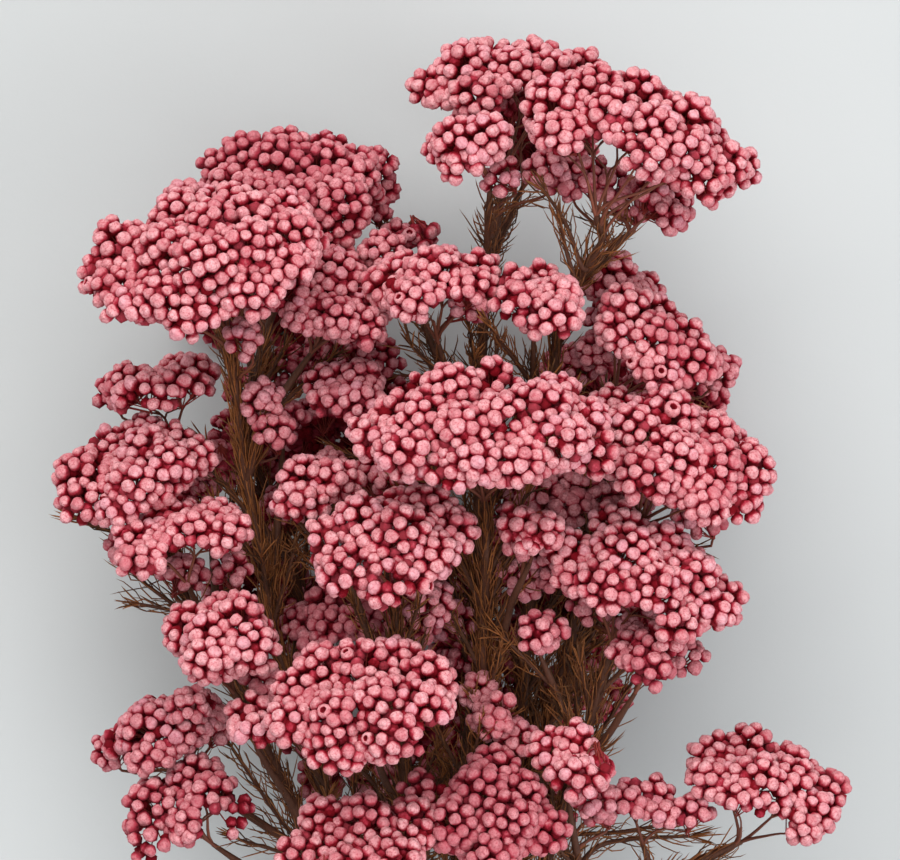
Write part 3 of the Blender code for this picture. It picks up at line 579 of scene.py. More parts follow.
def head_surface(head):
    """A function that gives the head's surface from its centre along unit-sphere directions."""
    node = frame["nodes"]["head_" + head.name]
    verts = np.array([v.co for v in node.data.vertices]) / MM + MIDDLE - np.array(head.centre)
    tree = BVHTree.FromPolygons([Vector(v) for v in verts], [list(f.vertices) for f in node.data.polygons])
    axes = head_axes(head)
    ways = even_directions(SURFACE_WAYS)
    flat = ways * head_scale(head, ways[:, 2] > 0) @ axes
    share = np.ones(len(ways))
    for k, (way, length) in enumerate(zip(flat, norm(flat, axis=1))):
        hit = tree.ray_cast(Vector((0.0, 0.0, 0.0)), Vector(way))
        if hit[3] is not None:
            share[k] = hit[3] / length
    spread = (SURFACE_BLEND / head.size[0]) ** 2

    def blended(q, values):
        near = np.exp((q @ ways.T - 1.0) / spread)
        return near @ values / near.sum(axis=1)

    smooth = blended(ways, share)
    return lambda q: (q * head_scale(head, q[:, 2] > 0) @ axes) * blended(q, smooth)[:, None]


def rim_directions(head):
    """Directions on a unit sphere that spread points evenly over the dome and under its rim."""
    wide = (head.size[0] + head.size[1]) / 2
    tilt = np.linspace(0.0, math.acos(-RIM_TUCK), 200)
    height = np.where(tilt < math.pi / 2, head.size[2], UNDER_DEPTH * head.size[0])
    ring = wide * np.sin(tilt) * np.hypot(wide * np.cos(tilt), height * np.sin(tilt))
    area = np.concatenate([[0.0], np.cumsum((ring[1:] + ring[:-1]) / 2 * np.diff(tilt))])
    count = int(2.0 * math.pi * area[-1] / PATCH * POINTS_A_PATCH)
    tilts = np.interp((np.arange(count) + 0.5) / count * area[-1], area, tilt)
    turns = np.arange(count) * GOLDEN_TURN
    return np.stack([np.sin(tilts) * np.cos(turns), np.sin(tilts) * np.sin(turns), np.cos(tilts)], axis=1)


def outward(head, q):
    """The way out of the plain head at each direction on its unit sphere."""
    return unit((q / head_scale(head, q[:, 2] > 0)) @ head_axes(head))


def thrown(points, least, order):
    """Indices of points taken in the given order, each at least so far from those taken before."""
    taken = []
    held = np.zeros((len(points), 3))
    for k in order:
        n = len(taken)
        if n == 0 or np.min(np.sum((held[:n] - points[k]) ** 2, axis=1)) > least * least:
            held[n] = points[k]
            taken.append(k)
    return np.array(taken)


def settled(head, q, surface):
    """Directions moved so that no two points of the surface crowd each other."""
    axes = head_axes(head)
    for _ in range(SETTLE_ROUNDS):
        at = surface(q)
        away = at[:, None] - at[None, :]
        length = norm(away, axis=2) + np.eye(len(at)) * FAR
        short = (np.clip(BUD_APART - length, 0.0, None) / length)[:, :, None]
        local = (at + (short * away).sum(axis=1) * SETTLE_PUSH) @ axes.T
        q = unit(local / head_scale(head, local[:, 2] > 0))
        q[:, 2] = np.maximum(q[:, 2], -RIM_TUCK - 0.05)
        q = unit(q)
    return q


# Where a head's front stands open in the photo: the middle of the gap in pixels, its half width and height
WINDOWS = {
    "crown_right": (((570, 166), 24, 15), ((600, 182), 40, 25), ((642, 194), 30, 16)),
    "crown_left": (((508, 152), 13, 9),),
    "centre_front": (((470, 506), 34, 12), ((430, 497), 36, 17)),
    "left_front": (((126, 334), 34, 18),),
    "inner_front": (((300, 560), 15, 40),),
    "centre_left": (((296, 486), 18, 26),),
    "corner_right": (((718, 735), 9, 9), ((772, 822), 20, 12), ((735, 812), 24, 9)),
    "corner_low": (((215, 830), 16, 22),),
    "low_front": (((446, 740), 28, 26), ((414, 770), 40, 17)),
}


def framed(places, head, middle, across, along):
    """Whether each place, from the head's centre, lies in an ellipse of the photo on the near side."""
    points = places + np.array(head.centre)
    k = (EYE - points[:, 2]) / (EYE - REFERENCE) * PHOTO_SCALE
    px = PHOTO_MIDDLE[0] + points[:, 0] / k
    py = PHOTO_MIDDLE[1] - points[:, 1] / k
    inside = ((px - middle[0]) / across) ** 2 + ((py - middle[1]) / along) ** 2 < 1.0
    return inside & (places[:, 2] > -3.0)


def flower_of(head):
    """Where a head's buds and its small clusters lie, from its centre."""
    rng = np.random.default_rng(sum(ord(c) * (k + 3) for k, c in enumerate(head.name)))
    surface = head_surface(head)
    q = rim_directions(head)
    at = surface(q)
    centres = thrown(at, CLUSTER_APART, rng.permutation(len(at)))
    picked = thrown(at, BUD_LEAST, rng.permutation(len(at)))
    q_bud = settled(head, q[picked], surface)
    at_bud = surface(q_bud)
    clusters, many = at[centres], len(centres)
    edge = np.clip(1.0 - q[centres][:, 2] / EDGE_START, 0.0, 1.0)
    lift = rng.uniform(-1.3, 1.3, many) + edge * rng.uniform(-2.8, 3.4, many)
    slope = outward(head, q[centres])
    lean_out = unit(slope + HUB_LEAN * head_axes(head)[2])
    distance = norm(at_bud[:, None] - clusters[None], axis=2) + rng.uniform(0, 0.8, (1, many))
    owner = distance.argmin(axis=1)
    rise = lift[owner] + CLUSTER_RISE - CLUSTER_FALL * (distance.min(axis=1) / CLUSTER_REACH) ** 2
    rise = np.clip(rise, -3.0, 4.0) + rng.normal(0.0, 0.28, len(owner))
    places = at_bud + outward(head, q_bud) * (rise - BUD_SINK)[:, None]
    hubs = clusters + slope * lift[:, None] - lean_out * CLUSTER_HUB
    outs = unit(places - hubs[owner])
    sizes = BUD_RADIUS * rng.normal(1.0, 0.08, len(owner)).clip(0.8, 1.18)
    # Some clusters at the rim are bare, and buds are fewer under it
    bare_share = np.where(slope[:, 1] < 0.1, BARE_BELOW, BARE_ABOVE)
    bare = (edge > 0.7) & (rng.uniform(size=many) < bare_share) & (many > 4)
    keep = ~bare[owner] & ~((q_bud[:, 2] < -0.12) & (rng.uniform(size=len(owner)) < 0.35))
    # No bud dips into the surface that the spray lies on
    shift = np.maximum(sizes * 0.98 - places[:, 2] - head.centre[2], 0.0)
    places[:, 2] += shift
    keep &= shift < LONGEST_LIFT
    groups = thrown(clusters, GROUP_APART, rng.permutation(many))
    # Deeper buds in the holes that others surround evenly
    near = norm(at[:, None] - at_bud[None], axis=2)
    holes = np.flatnonzero((near.min(axis=1) > DEEP_HOLE) & ~bare[owner[near.argmin(axis=1)]])
    close = (near[holes] < DEEP_SHELTER + 0.5) & keep
    lopsided = norm((unit(at_bud[None] - at[holes][:, None]) * close[:, :, None]).sum(axis=1), axis=1)
    sheltered = (near[holes][:, keep] < DEEP_SHELTER).sum(axis=1) > LEAST_COMPANY
    holes = holes[sheltered & (lopsided < 0.5 * close.sum(axis=1))]
    if len(holes):
        holes = holes[thrown(at[holes], DEEP_LEAST, rng.permutation(len(holes)))]
    under_outs = outward(head, q[holes])
    depth = rise[near[holes].argmin(axis=1)] - BUD_SINK - DEEP_LAYER
    under = at[holes] + under_outs * depth[:, None]
    under[:, 2] = np.maximum(under[:, 2], DEEP_RADIUS - head.centre[2])
    # Stray buds go, and what stands in an open window
    company = norm(places[:, None] - places[None], axis=2) < CROWD_REACH
    keep &= (company & keep).sum(axis=1) > LEAST_COMPANY
    shown = np.ones(len(under), bool)
    for window in WINDOWS.get(head.name, ()):
        keep &= ~framed(places, head, *window)
        shown &= ~framed(under, head, *window)
    return Flower(head, places[keep], outs[keep], sizes[keep], clusters, hubs, owner[keep], groups,
                  under[shown], under_outs[shown])


# Heads that are redder in the photo, with the share of their buds' tone that is left
RED_HEADS = {"base_front": 0.35, "base_left": 0.7, "left_rear": 0.6, "inner_dark": 0.3, "left_inner": 0.4,
             "gap_left": 0.4, "gap_small": 0.5, "low_small": 0.8, "right_under": 0.6}


def head_piece(flower, material):
    head = flower.head
    rng = np.random.default_rng(217 + len(head.name) * 31 + int(head.centre[0]))
    pile = Pile()
    places = flower.places + np.array(head.centre)
    many = len(places)
    kinds = rng.integers(0, len(FORMS), many)
    kinds[rng.uniform(size=many) < OPENED_SHARE] = len(FORMS)
    kinds[(flower.outs[:, 2] < -0.35) & (places[:, 2] < PLAIN_BELOW)] = len(FORMS) + 1
    local_tone = rng.uniform(0.0, 1.0, len(flower.clusters))[flower.owner]
    tones = np.clip(0.62 * rng.uniform(0.0, 1.0, many) + 0.38 * local_tone, 0.0, 1.0)
    tones = tones * RED_HEADS.get(head.name, 1.0)
    sizes = flower.sizes * np.where(kinds > len(FORMS), 0.95, 1.0)
    strew_kinds(pile, (*FORMS, OPENED, SMALL), kinds, places, flower.outs, sizes, tones, 0.0, rng)
    under = flower.under + np.array(head.centre)
    n = len(under)
    crowd = crowd_of(np.concatenate([places, under]))[many:]
    # Painted shade: the deeper buds' tips are lowered by 0.5 to 1.15, toward crimson
    strew(pile, SMALL, under, flower.under_outs, DEEP_RADIUS * rng.uniform(0.88, 1.1, n),
          rng.uniform(0.0, 0.7, n), rng.uniform(0.5, 1.15, n), rng, crowd)
    pile.piece("buds_" + head.name, material, ["head_" + head.name])


def swept(points, radii, sides):
    """Rings of a tube along the points, its triangles, and how far along each vertex is."""
    side = unit(np.cross(unit(np.gradient(points, axis=0))[0], ASIDE))
    a = np.arange(sides) * 2.0 * math.pi / sides
    rings = []
    for point, way, radius in zip(points, unit(np.gradient(points, axis=0)), radii):
        side = unit(side - way * (side @ way))
        ring = np.cos(a)[:, None] * side + np.sin(a)[:, None] * np.cross(way, side)
        rings.append(point + ring * radius)
    faces = np.array(ring_faces(len(points), sides))
    return np.concatenate(rings), faces, np.repeat(np.linspace(0.0, 1.0, len(points)), sides)


def many_blades(roots, ways, bends, lengths, radii, build):
    """Curved tapering blades or stalks, all of one build, as one set of vertices and triangles."""
    s, taper = np.array(build)
    bent = ways[:, None] * s[:, None] + bends[:, None] * (s ** 2)[:, None]
    at = roots[:, None] + bent * lengths[:, None, None]
    tangent = unit(ways[:, None] + 2.0 * bends[:, None] * s[:, None])
    side = unit(np.cross(tangent, ASIDE))
    other = np.cross(tangent, side)
    angle = np.arange(BLADE_SIDES) * 2.0 * math.pi / BLADE_SIDES
    ring = np.cos(angle)[:, None] * side[:, :, None] + np.sin(angle)[:, None] * other[:, :, None]
    width = radii[:, None] * taper[None, :]
    verts = (at[:, :, None] + ring * width[:, :, None, None]).reshape(len(roots), -1, 3)
    faces = np.array(ring_faces(len(s), BLADE_SIDES))
    tips = np.repeat(s, BLADE_SIDES)
    if taper[-1] == 0.0:
        last = (len(s) - 1) * BLADE_SIDES
        faces = np.minimum(faces, last)
        faces = faces[[len(set(face)) == 3 for face in faces.tolist()]]
        verts, tips = verts[:, :last + 1], tips[:last + 1]
    each = verts.shape[1]
    faces = faces[None] + np.arange(len(roots))[:, None, None] * each
    return verts.reshape(-1, 3), faces.reshape(-1, 3), np.tile(tips, len(roots)), each


def add_blades(pile, roots, ways, bends, lengths, radii, tones, kind, rng, build=LEAF_BUILD):
    if len(roots) == 0:
        return
    verts, faces, tips, each = many_blades(roots, ways, bends, lengths, radii, build)
    own = verts + np.repeat(rng.uniform(0.0, 300.0, (len(roots), 3)), each, axis=0)
    pile.add(verts, faces, np.repeat(tones, each), tips, kind, own)


def add_tube(pile, points, radii, sides, tone, kind):
    verts, faces, tips = swept(points, radii, sides)
    pile.add(verts, faces, tone, tips, kind, verts)


def pedicels(pile, hubs, spread, places, outs, sizes, rng):
    """A fine stalk from its hub to each bud."""
    roots = hubs + rng.normal(0.0, spread, (len(places), 3))
    ends = places - outs * (sizes * 0.8)[:, None]
    lengths = norm(ends - roots, axis=1)
    bends = rng.normal(0.0, 0.06, (len(roots), 3))
    ways = (ends - roots) / lengths[:, None] - bends
    add_blades(pile, roots, ways, bends, lengths, np.full(len(roots), PEDICEL_RADIUS),
               rng.uniform(0, 1, len(roots)), PEDICEL, rng, PEDICEL_BUILD)


def followed(where, along, rows):
    return np.stack([np.interp(where, along, rows[:, k]) for k in range(3)], axis=1)


def leaves_on(pile, points, radii, spacing, length, lean, bare_ends, rng, heads=(), shade=(0.0, 0.8)):
    """Needle leaves up a stem: roots at the golden angle, leaning out and curling in or out."""
    start, stop = bare_ends
    along = along_of(points)
    if along[-1] - stop <= start:
        return
    where = np.arange(start, along[-1] - stop, spacing)
    n = len(where)
    where = np.clip(where + rng.uniform(-0.4, 0.4, n) * spacing, 0.0, along[-1])
    way = unit(followed(where, along, np.gradient(points, axis=0)))
    side = unit(np.cross(way, ASIDE))
    turn = (np.arange(n) * GOLDEN_TURN + rng.uniform(-0.3, 0.3, n))[:, None]
    out = side * np.cos(turn) + np.cross(way, side) * np.sin(turn)
    roots = followed(where, along, points) + out * np.interp(where, along, radii)[:, None] * 0.8
    angle = np.radians(rng.uniform(*lean, n))[:, None]
    ways = unit(way * np.cos(angle) + out * np.sin(angle) + rng.normal(0.0, 0.10, (n, 3)))
    lengths = rng.uniform(*length, n)
    curl = rng.normal(LEAF_CURL, 0.42, n)[:, None]
    bends = way * 0.12 - out * np.sin(angle) * curl + rng.normal(0.0, 0.09, (n, 3))
    thick = LEAF_RADIUS * rng.uniform(0.8, 1.15, n)
    tips = roots + (ways + bends) * lengths[:, None]
    keep = tips[:, 2] > LEAF_FROM_FLOOR
    for head in heads:
        keep &= near_head(head, tips)[0] > LEAF_FROM_HEAD
    add_blades(pile, roots[keep], ways[keep], bends[keep], lengths[keep], thick[keep],
               rng.uniform(*shade, keep.sum()), LEAF, rng)


def rays_under(pile, flower, stem, rng):
    """A head's rays: from its branch to each group, to each small cluster, to each bud."""
    centre = np.array(flower.head.centre)
    hubs = flower.hubs + centre
    stem_way = unit(stem[-1] - stem[-3])
    groups = flower.clusters[flower.groups]
    member = norm(flower.clusters[:, None] - groups[None], axis=2).argmin(axis=1)
    forks = []
    for g in range(len(groups)):
        target = hubs[member == g].mean(axis=0)
        start = stem[max(0, len(stem) - 1 - int((0.5 + 0.9 * g) / RING_STEP))]
        way = unit(target - start)
        fork = start + (target - start) * rng.uniform(0.48, 0.62) + stem_way * 1.2
        path = smooth_curve([start, fork], stem_way * 0.8 + way * 0.5, way + 0.1 * stem_way, 2.2)
        add_tube(pile, path, np.linspace(0.46, 0.32, len(path)), 5, rng.uniform(), RAY)
        forks.append((fork, way))
    for c, place in enumerate(hubs):
        if np.any(flower.owner == c):
            fork, way = forks[member[c]]
            last = unit(place - fork) + 0.3 * unit(flower.clusters[c])
            path = smooth_curve([fork, place], way, last, 2.4)
            add_tube(pile, path, np.linspace(0.30, 0.22, len(path)), 4, rng.uniform(), FINE_RAY)
    pedicels(pile, hubs[flower.owner], 0.35, flower.places + centre, flower.outs, flower.sizes, rng)


# Leafy sprigs that carry no buds: the shoot, then pixels of the photo with heights, from root to tip
SPRIGS = (
    ("left_low", ((318, 868, 56), (275, 812, 58), (232, 748, 56))),
    ("left_low", ((322, 872, 54), (292, 856, 56), (240, 840, 58))),
    ("left_mid", ((212, 630, 60), (165, 598, 62), (133, 574, 62))),
    ("left_mid", ((214, 632, 60), (176, 612, 60), (140, 604, 60))),
    ("left_mid", ((180, 560, 58), (120, 535, 58), (80, 520, 60))),
    ("right", ((580, 760, 54), (612, 715, 56), (636, 676, 58))),
    ("right", ((545, 735, 60), (585, 690, 62), (620, 655, 62))),
    ("right", ((540, 752, 58), (560, 700, 60), (570, 660, 62))),
    ("front", ((462, 790, 70), (450, 752, 76), (432, 722, 80))),
    ("front", ((448, 800, 70), (470, 770, 78), (478, 735, 82))),
    ("base_front", ((400, 828, 70), (378, 788, 74), (352, 760, 78))),
    ("left_low", ((330, 800, 62), (312, 765, 64), (296, 722, 66))),
    ("top_b", ((576, 285, 74), (567, 252, 78), (561, 226, 80))),
    ("top_b", ((582, 266, 77), (566, 222, 80), (545, 190, 80))),
    ("right_low", ((560, 838, 60), (620, 832, 62), (676, 822, 64))),
    ("right_low", ((600, 845, 62), (640, 838, 62), (690, 836, 62))),
)


def sprig(pile, points, rng, heads, length, spacing):
    """A leafy side shoot with a tuft at its tip."""
    path = smooth_curve(points, points[1] - points[0], points[-1] - points[-2], 2.0)
    radii = np.linspace(0.75, 0.4, len(path))
    add_tube(pile, path, radii, 5, rng.uniform(), STEM)
    leaves_on(pile, path, radii, spacing, length, (24, 60), (3.0, 0.0), rng, heads)
    ways = unit(unit(path[-1] - path[-3]) + rng.normal(0.0, 0.3, (TUFT, 3)))
    add_blades(pile, np.repeat(path[-1:], TUFT, axis=0), ways, rng.normal(0.0, 0.12, (TUFT, 3)),
               rng.uniform(5.0, 7.5, TUFT), np.full(TUFT, 0.26), rng.uniform(0, 1, TUFT), LEAF, rng)


# Leaves on each shoot: space between leaves, the range of their lean in degrees, and of their tone
SHAGGY = {
    "left_low": (0.8, (34, 64), (0.0, 0.5)),
    "left_top": (0.24, (8, 26), (0.3, 1.0)),
    "top_b": (0.36, (14, 56), (0.0, 0.6)),
    "top_a": (0.42, (28, 70), (0.0, 0.45)),
    "centre": (0.24, (10, 32), (0.1, 0.9)),
    "front": (0.26, (12, 42), (0.0, 0.8)),
    "back_left": (0.5, (16, 54), (0.0, 0.8)),
    "back_right": (0.5, (16, 54), (0.0, 0.8)),
}

# Where a head's rays part in the photo, in pixels and height, when that is above its solid stem's end
FORKS = {"crown_right": (597, 213, 84), "centre_front": (484, 498, 86)}

# Small clusters of buds between the heads: pixels of the photo, height and radius
SMALL_CLUSTERS = (
    (395, 484, 72, 4.5), (376, 474, 68, 4.5), (425, 600, 74, 5.5), (448, 622, 70, 5.0), (408, 632, 66, 5.0),
    (522, 538, 86, 4.0), (548, 552, 82, 4.0), (520, 578, 70, 4.5), (572, 508, 70, 4.5), (600, 500, 66, 4.5),
    (634, 500, 64, 4.5), (684, 508, 70, 4.5), (706, 520, 70, 4.0), (492, 716, 82, 4.5), (514, 738, 80, 4.5),
    (596, 286, 66, 4.5), (606, 322, 64, 4.5), (598, 352, 60, 4.5), (574, 366, 52, 4.5), (302, 626, 62, 4.5),
    (314, 655, 62, 4.5), (190, 706, 72, 4.5), (222, 728, 68, 4.0), (128, 546, 70, 4.5), (182, 574, 70, 4.5),
    (232, 572, 68, 4.0), (244, 338, 84, 4.0), (384, 252, 66, 4.5), (366, 284, 66, 4.5),
    (262, 400, 70, 4.5), (274, 430, 70, 4.5), (330, 470, 66, 4.5), (590, 604, 70, 4.5), (562, 574, 74, 4.5),
    (545, 170, 66, 4.5), (570, 182, 64, 4.5), (588, 178, 62, 4.5), (612, 188, 62, 4.5), (634, 206, 64, 4.5),
    (502, 177, 74, 4.0), (592, 797, 84, 4.5), (602, 812, 80, 4.0), (375, 168, 56, 4.5), (378, 190, 58, 4.5),
    (374, 212, 60, 4.0), (325, 154, 50, 4.5),
    (466, 304, 80, 4.5), (684, 655, 76, 4.5), (716, 372, 60, 4.5), (114, 394, 56, 4.0), (262, 682, 84, 4.0),
    (184, 200, 80, 4.5), (196, 490, 47, 5.0), (350, 352, 47, 5.0), (378, 364, 46, 5.0), (262, 452, 34, 6.0),
    (274, 474, 30, 6.0), (502, 506, 47, 5.5), (512, 645, 40, 6.0), (478, 692, 82, 4.0), (640, 622, 74, 4.5),
    (114, 752, 60, 4.5), (576, 486, 66, 4.5), (540, 492, 70, 4.5),
    (496, 584, 40, 6.0), (598, 652, 36, 6.0), (468, 642, 36, 6.0), (440, 528, 36, 6.0),
)

# The inside of the spray in pixels of the photo, where buds fill the gaps between the stems
INSIDE = ((250, 345), (330, 345), (370, 372), (560, 368), (640, 330), (700, 420), (660, 520), (680, 590),
          (640, 670), (598, 720), (560, 820), (330, 820), (300, 745), (262, 690), (230, 600), (215, 500))

# More clusters low down there: how many, their heights and radii, and how far apart they keep
SEEDED, SEEDED_TRIES = 46, 700
SEEDED_HEIGHTS = (16.0, 48.0)
SEEDED_RADII = (4.5, 6.0)
SEEDED_APART = 10.0


def inside_frame(px, py):
    crossed = False
    for (ax, ay), (bx, by) in zip(INSIDE, INSIDE[1:] + INSIDE[:1]):
        if (ay > py) != (by > py) and px < (bx - ax) * (py - ay) / (by - ay) + ax:
            crossed = not crossed
    return crossed


def small_clusters(lines, heads):
    """Small clusters of buds: the chosen ones, then seeded ones low down inside the spray."""
    rng = np.random.default_rng(4242)
    spots = []
    for px, py, z, radius in SMALL_CLUSTERS:
        for lower in range(0, 24, 3):
            at = photo_point(px, py, z - lower)
            if clear_of(heads, at[None]) > radius * 0.6:
                spots.append((at, radius))
                break
    for _ in range(SEEDED_TRIES):
        if len(spots) >= len(SMALL_CLUSTERS) + SEEDED:
            break
        px, py = rng.uniform(215, 690), rng.uniform(340, 820)
        at = photo_point(px, py, rng.uniform(*SEEDED_HEIGHTS))
        radius = rng.uniform(*SEEDED_RADII)
        if not inside_frame(px, py) or clear_of(heads, at[None]) < radius + 1.0:
            continue
        if min(norm(at - other) for other, _ in spots) < SEEDED_APART:
            continue
        to_eye = at + np.linspace(0.1, 1.0, 9)[:, None] * (photo_point(px, py, 118.0) - at)
        if clear_of(heads, to_eye) >= 0.0 or rng.uniform() >= 0.9:
            spots.append((at, radius))
    points = np.concatenate([line.points for line in lines])
    shoots = [line.shoot for line in lines for _ in line.points]
    grown = []
    for at, radius in spots:
        out = unit(np.array([0.0, 0.6, 0.75]) + rng.normal(0.0, 0.22, 3))
        foot = at - out * radius * CLUSTER_FOOT
        cost = norm(points - foot, axis=1) + 2.0 * np.maximum(points[:, 1] - foot[1] + 5.0, 0.0)
        k = int(cost.argmin())
        grown.append(Cluster(shoots[k], points[k], foot, at, out, radius))
    return grown


def cluster_buds(buds, leafy, cluster, rng):
    """A small dome of buds with its stalk and its rays."""
    _, root, foot, at, out, radius = cluster
    path = smooth_curve([root, foot], np.array([0.0, 1.0, 0.1]), out, max(2.0, norm(foot - root) / 8.0))
    add_tube(leafy, path, np.linspace(0.5, 0.32, len(path)), 5, rng.uniform(), RAY)
    leaves_on(leafy, path, np.full(len(path), 0.45), 0.8, (4.5, 7.5), (20, 60), (1.0, 7.0), rng)
    count = int(radius * radius * 0.92)
    i = np.arange(count) + 0.5
    z = 1.0 - 1.22 * i / count
    q = around_a_ball(z, i * GOLDEN_TURN + rng.uniform(0.0, 6.0))
    side = unit(np.cross(out, ASIDE))
    ways = unit(q + rng.normal(0.0, 0.12, q.shape)) @ np.stack([side, np.cross(out, side), out])
    reach = radius * rng.uniform(0.82, 1.12, count) * np.where(z > 0.6, 0.9, 1.0)
    places = at + ways * reach[:, None]
    places = places[places[:, 2] > 2.0]
    many = len(places)
    ways = unit(places - foot)
    sizes = BUD_RADIUS * rng.normal(0.97, 0.08, many).clip(0.8, 1.15)
    tones = np.clip(rng.uniform(0.0, 1.0) * 0.4 + rng.uniform(0.0, 0.6, many), 0.0, 1.0)
    forms = (SMALL,) if at[2] < HIDDEN_BELOW else FORMS
    kinds = rng.integers(0, len(forms), many)
    # Painted shade: redder the lower they lie
    shade = np.interp(at[2], (30.0, 70.0), (0.55, 0.0))
    strew_kinds(buds, forms, kinds, places, ways, sizes, tones, shade, rng)
    pedicels(leafy, foot, 0.3, places, ways, sizes, rng)


def shoot_piece(shoot, lines, flowers, heads, clusters, leafy_look, bud_look):
    rng = np.random.default_rng(900 + SHOOTS.index(shoot))
    pile = Pile()
    spacing, lean, shade = SHAGGY.get(shoot.name, (0.36, (16, 54), (0.0, 0.9)))
    own = [line for line in lines if line.shoot == shoot.name]
    for line in own:
        points, radii = refined(line.points, line.radii)
        radii = radii * np.interp(np.arange(len(radii))[::-1], [0.0, 4.0], [0.62, 1.0])
        if line.head in FORKS:
            way = unit(points[-1] - points[-2])
            more = smooth_curve([points[-1], photo_point(*FORKS[line.head])], way, way, RING_STEP)[1:]
            points = np.concatenate([points, more])
            radii = np.concatenate([radii, np.full(len(more), radii[-1])])
        if line.parent is None and shoot.tier != "leader":
            base, way = stub_of(shoot)
            points = np.concatenate([[base + way * STUB_LENGTH * 0.7], points])
            radii = np.concatenate([radii[:1], radii])
        add_tube(pile, points, radii, 8, rng.uniform(), STEM)
        leafy = line.parent is None or shoot.name in ("top_a", "top_b")
        stop = 5.0 if leafy else max(6.0, spans_of(points).sum() - 15.0)
        leaves_on(pile, points, radii, spacing, (5.5, 9.0), lean, (2.0, stop), rng, heads, shade)
        rays_under(pile, flowers[line.head], points, rng)
        inner_sprigs(pile, points, rng, heads)
    stems = np.concatenate([line.points for line in own])
    for name, stops in SPRIGS:
        if name == shoot.name:
            stops = [photo_point(*stop) for stop in stops]
            behind = stems + unit(stops[1] - stops[0]) * 4.0
            root = stems[norm(behind - stops[0], axis=1).argmin()]
            sprig(pile, np.array([root, *stops]), rng, heads, (7.0, 10.0), 0.9)
    buds = Pile()
    for cluster in clusters:
        if cluster.shoot == shoot.name:
            cluster_buds(buds, pile, cluster, rng)
    pile.piece("leafy_" + shoot.name, leafy_look, ["shoot_" + shoot.name])
    if buds.count:
        buds.piece("sprays_" + shoot.name, bud_look, ["shoot_" + shoot.name])


def inner_sprigs(pile, points, rng, heads):
    """Short leafy side shoots inside the spray, where they meet no head."""
    along = along_of(points)
    at = 16.0
    while at < along[-1] - 8.0:
        k = int(np.searchsorted(along, at))
        way = unit(points[min(k + 1, len(points) - 1)] - points[k - 1])
        out = unit(np.cross(way, rng.normal(size=3)))
        reach = rng.uniform(14.0, 24.0)
        mid = points[k] + (way * 0.8 + out * 0.45) * reach * 0.5
        end = points[k] + (way * 0.95 + out * 0.5) * reach
        path = smooth_curve([points[k], mid, end], way + out * 0.6, way + out * 0.2, 3.0)
        # Only inside the spray, and not in its lower corners
        inside = abs(end[0]) < 62.0 and end[1] < 45.0 and path[:, 2].min() > 4.0 and end[2] < 92.0
        in_corner = abs(end[0]) > 30.0 and end[1] < -40.0
        if inside and not in_corner and clear_of(heads, path) > 1.2:
            sprig(pile, path[::2] if len(path) > 4 else path, rng, heads, (5.5, 8.0), 0.6)
        at += rng.uniform(6.0, 11.0)


BARK_VOXEL = 0.65


def trunk_piece(material):
    """The woody stem with its stubs, grown together, barked in code, its cut end showing wood."""
    fine, wide = refined(*stem_path(), 2.0)
    bm = bmesh.new()

    def closed_tube(path, radius, sides):
        verts, faces, _ = swept(path, radius, sides)
        made = [bm.verts.new(v * MM) for v in verts]
        for f in faces:
            bm.faces.new([made[i] for i in f])
        bm.faces.new(made[:sides][::-1])
        bm.faces.new(made[-sides:])

    closed_tube(fine, wide, 24)
    for shoot in SHOOTS:
        if shoot.tier != "leader":
            base, way = stub_of(shoot)
            path = base + way * np.linspace(0.0, STUB_LENGTH, 6)[:, None]
            closed_tube(path, np.linspace(STUB_RADIUS * 1.25, STUB_RADIUS * 0.98, 6), 14)
    mesh = bpy.data.meshes.new("trunk")
    bm.to_mesh(mesh)
    bm.free()
    holder = placed("trunk", mesh)
    remesh = holder.modifiers.new("joined", "REMESH")
    remesh.mode = "VOXEL"
    remesh.voxel_size = BARK_VOXEL * MM
    smooth = holder.modifiers.new("eased", "SMOOTH")
    smooth.factor = 0.5
    smooth.iterations = 4
    bpy.context.view_layer.update()
    shaped = bpy.data.meshes.new_from_object(holder.evaluated_get(bpy.context.evaluated_depsgraph_get()))
    bpy.data.objects.remove(holder)
    shaped.calc_loop_triangles()
    verts = np.array([v.co for v in shaped.vertices]) / MM
    normals = np.array([n.vector for n in shaped.vertex_normals])
    faces = np.array([t.vertices for t in shaped.loop_triangles])
    cut = unit(fine[0] - fine[1])
    from_cut = (verts - fine[0]) @ -cut
    # Ridges that wander round the stem, and a ring of knots every 21 mm
    step = norm(verts[:, None] - fine[None, ::3], axis=2).argmin(axis=1) * 3
    along = (verts - fine[0]) @ unit(fine[-1] - fine[0])
    around = np.arctan2(verts[:, 0] - fine[step, 0], verts[:, 2] - fine[step, 2])
    ridge = np.sin(around * 9.0 + 0.7 * np.sin(along * 0.31) + 1.4 * np.sin(along * 0.11 + around))
    ridge = ridge + 0.6 * np.sin(around * 17.0 - along * 0.5 + 2.0 * np.sin(along * 0.23))
    knots = 0.5 * np.exp(-((along % 21.0 - 9.0 + 2.5 * np.sin(around * 2.0)) / 1.1) ** 2)
    depth = (0.10 * ridge + knots * 0.5) * np.clip(from_cut / 1.5, 0.0, 1.0)
    verts = verts + normals * depth[:, None]
    face_of_cut = (from_cut < 0.45).astype(float)
    radius = norm(np.cross(verts - fine[0], cut), axis=1)
    pile = Pile()
    pile.add(verts, faces, radius / STEM_RADII[0], np.clip(along / 120.0, 0, 1), face_of_cut, verts)
    pile.piece("woody_stem_bark", material, ["woody_stem"])


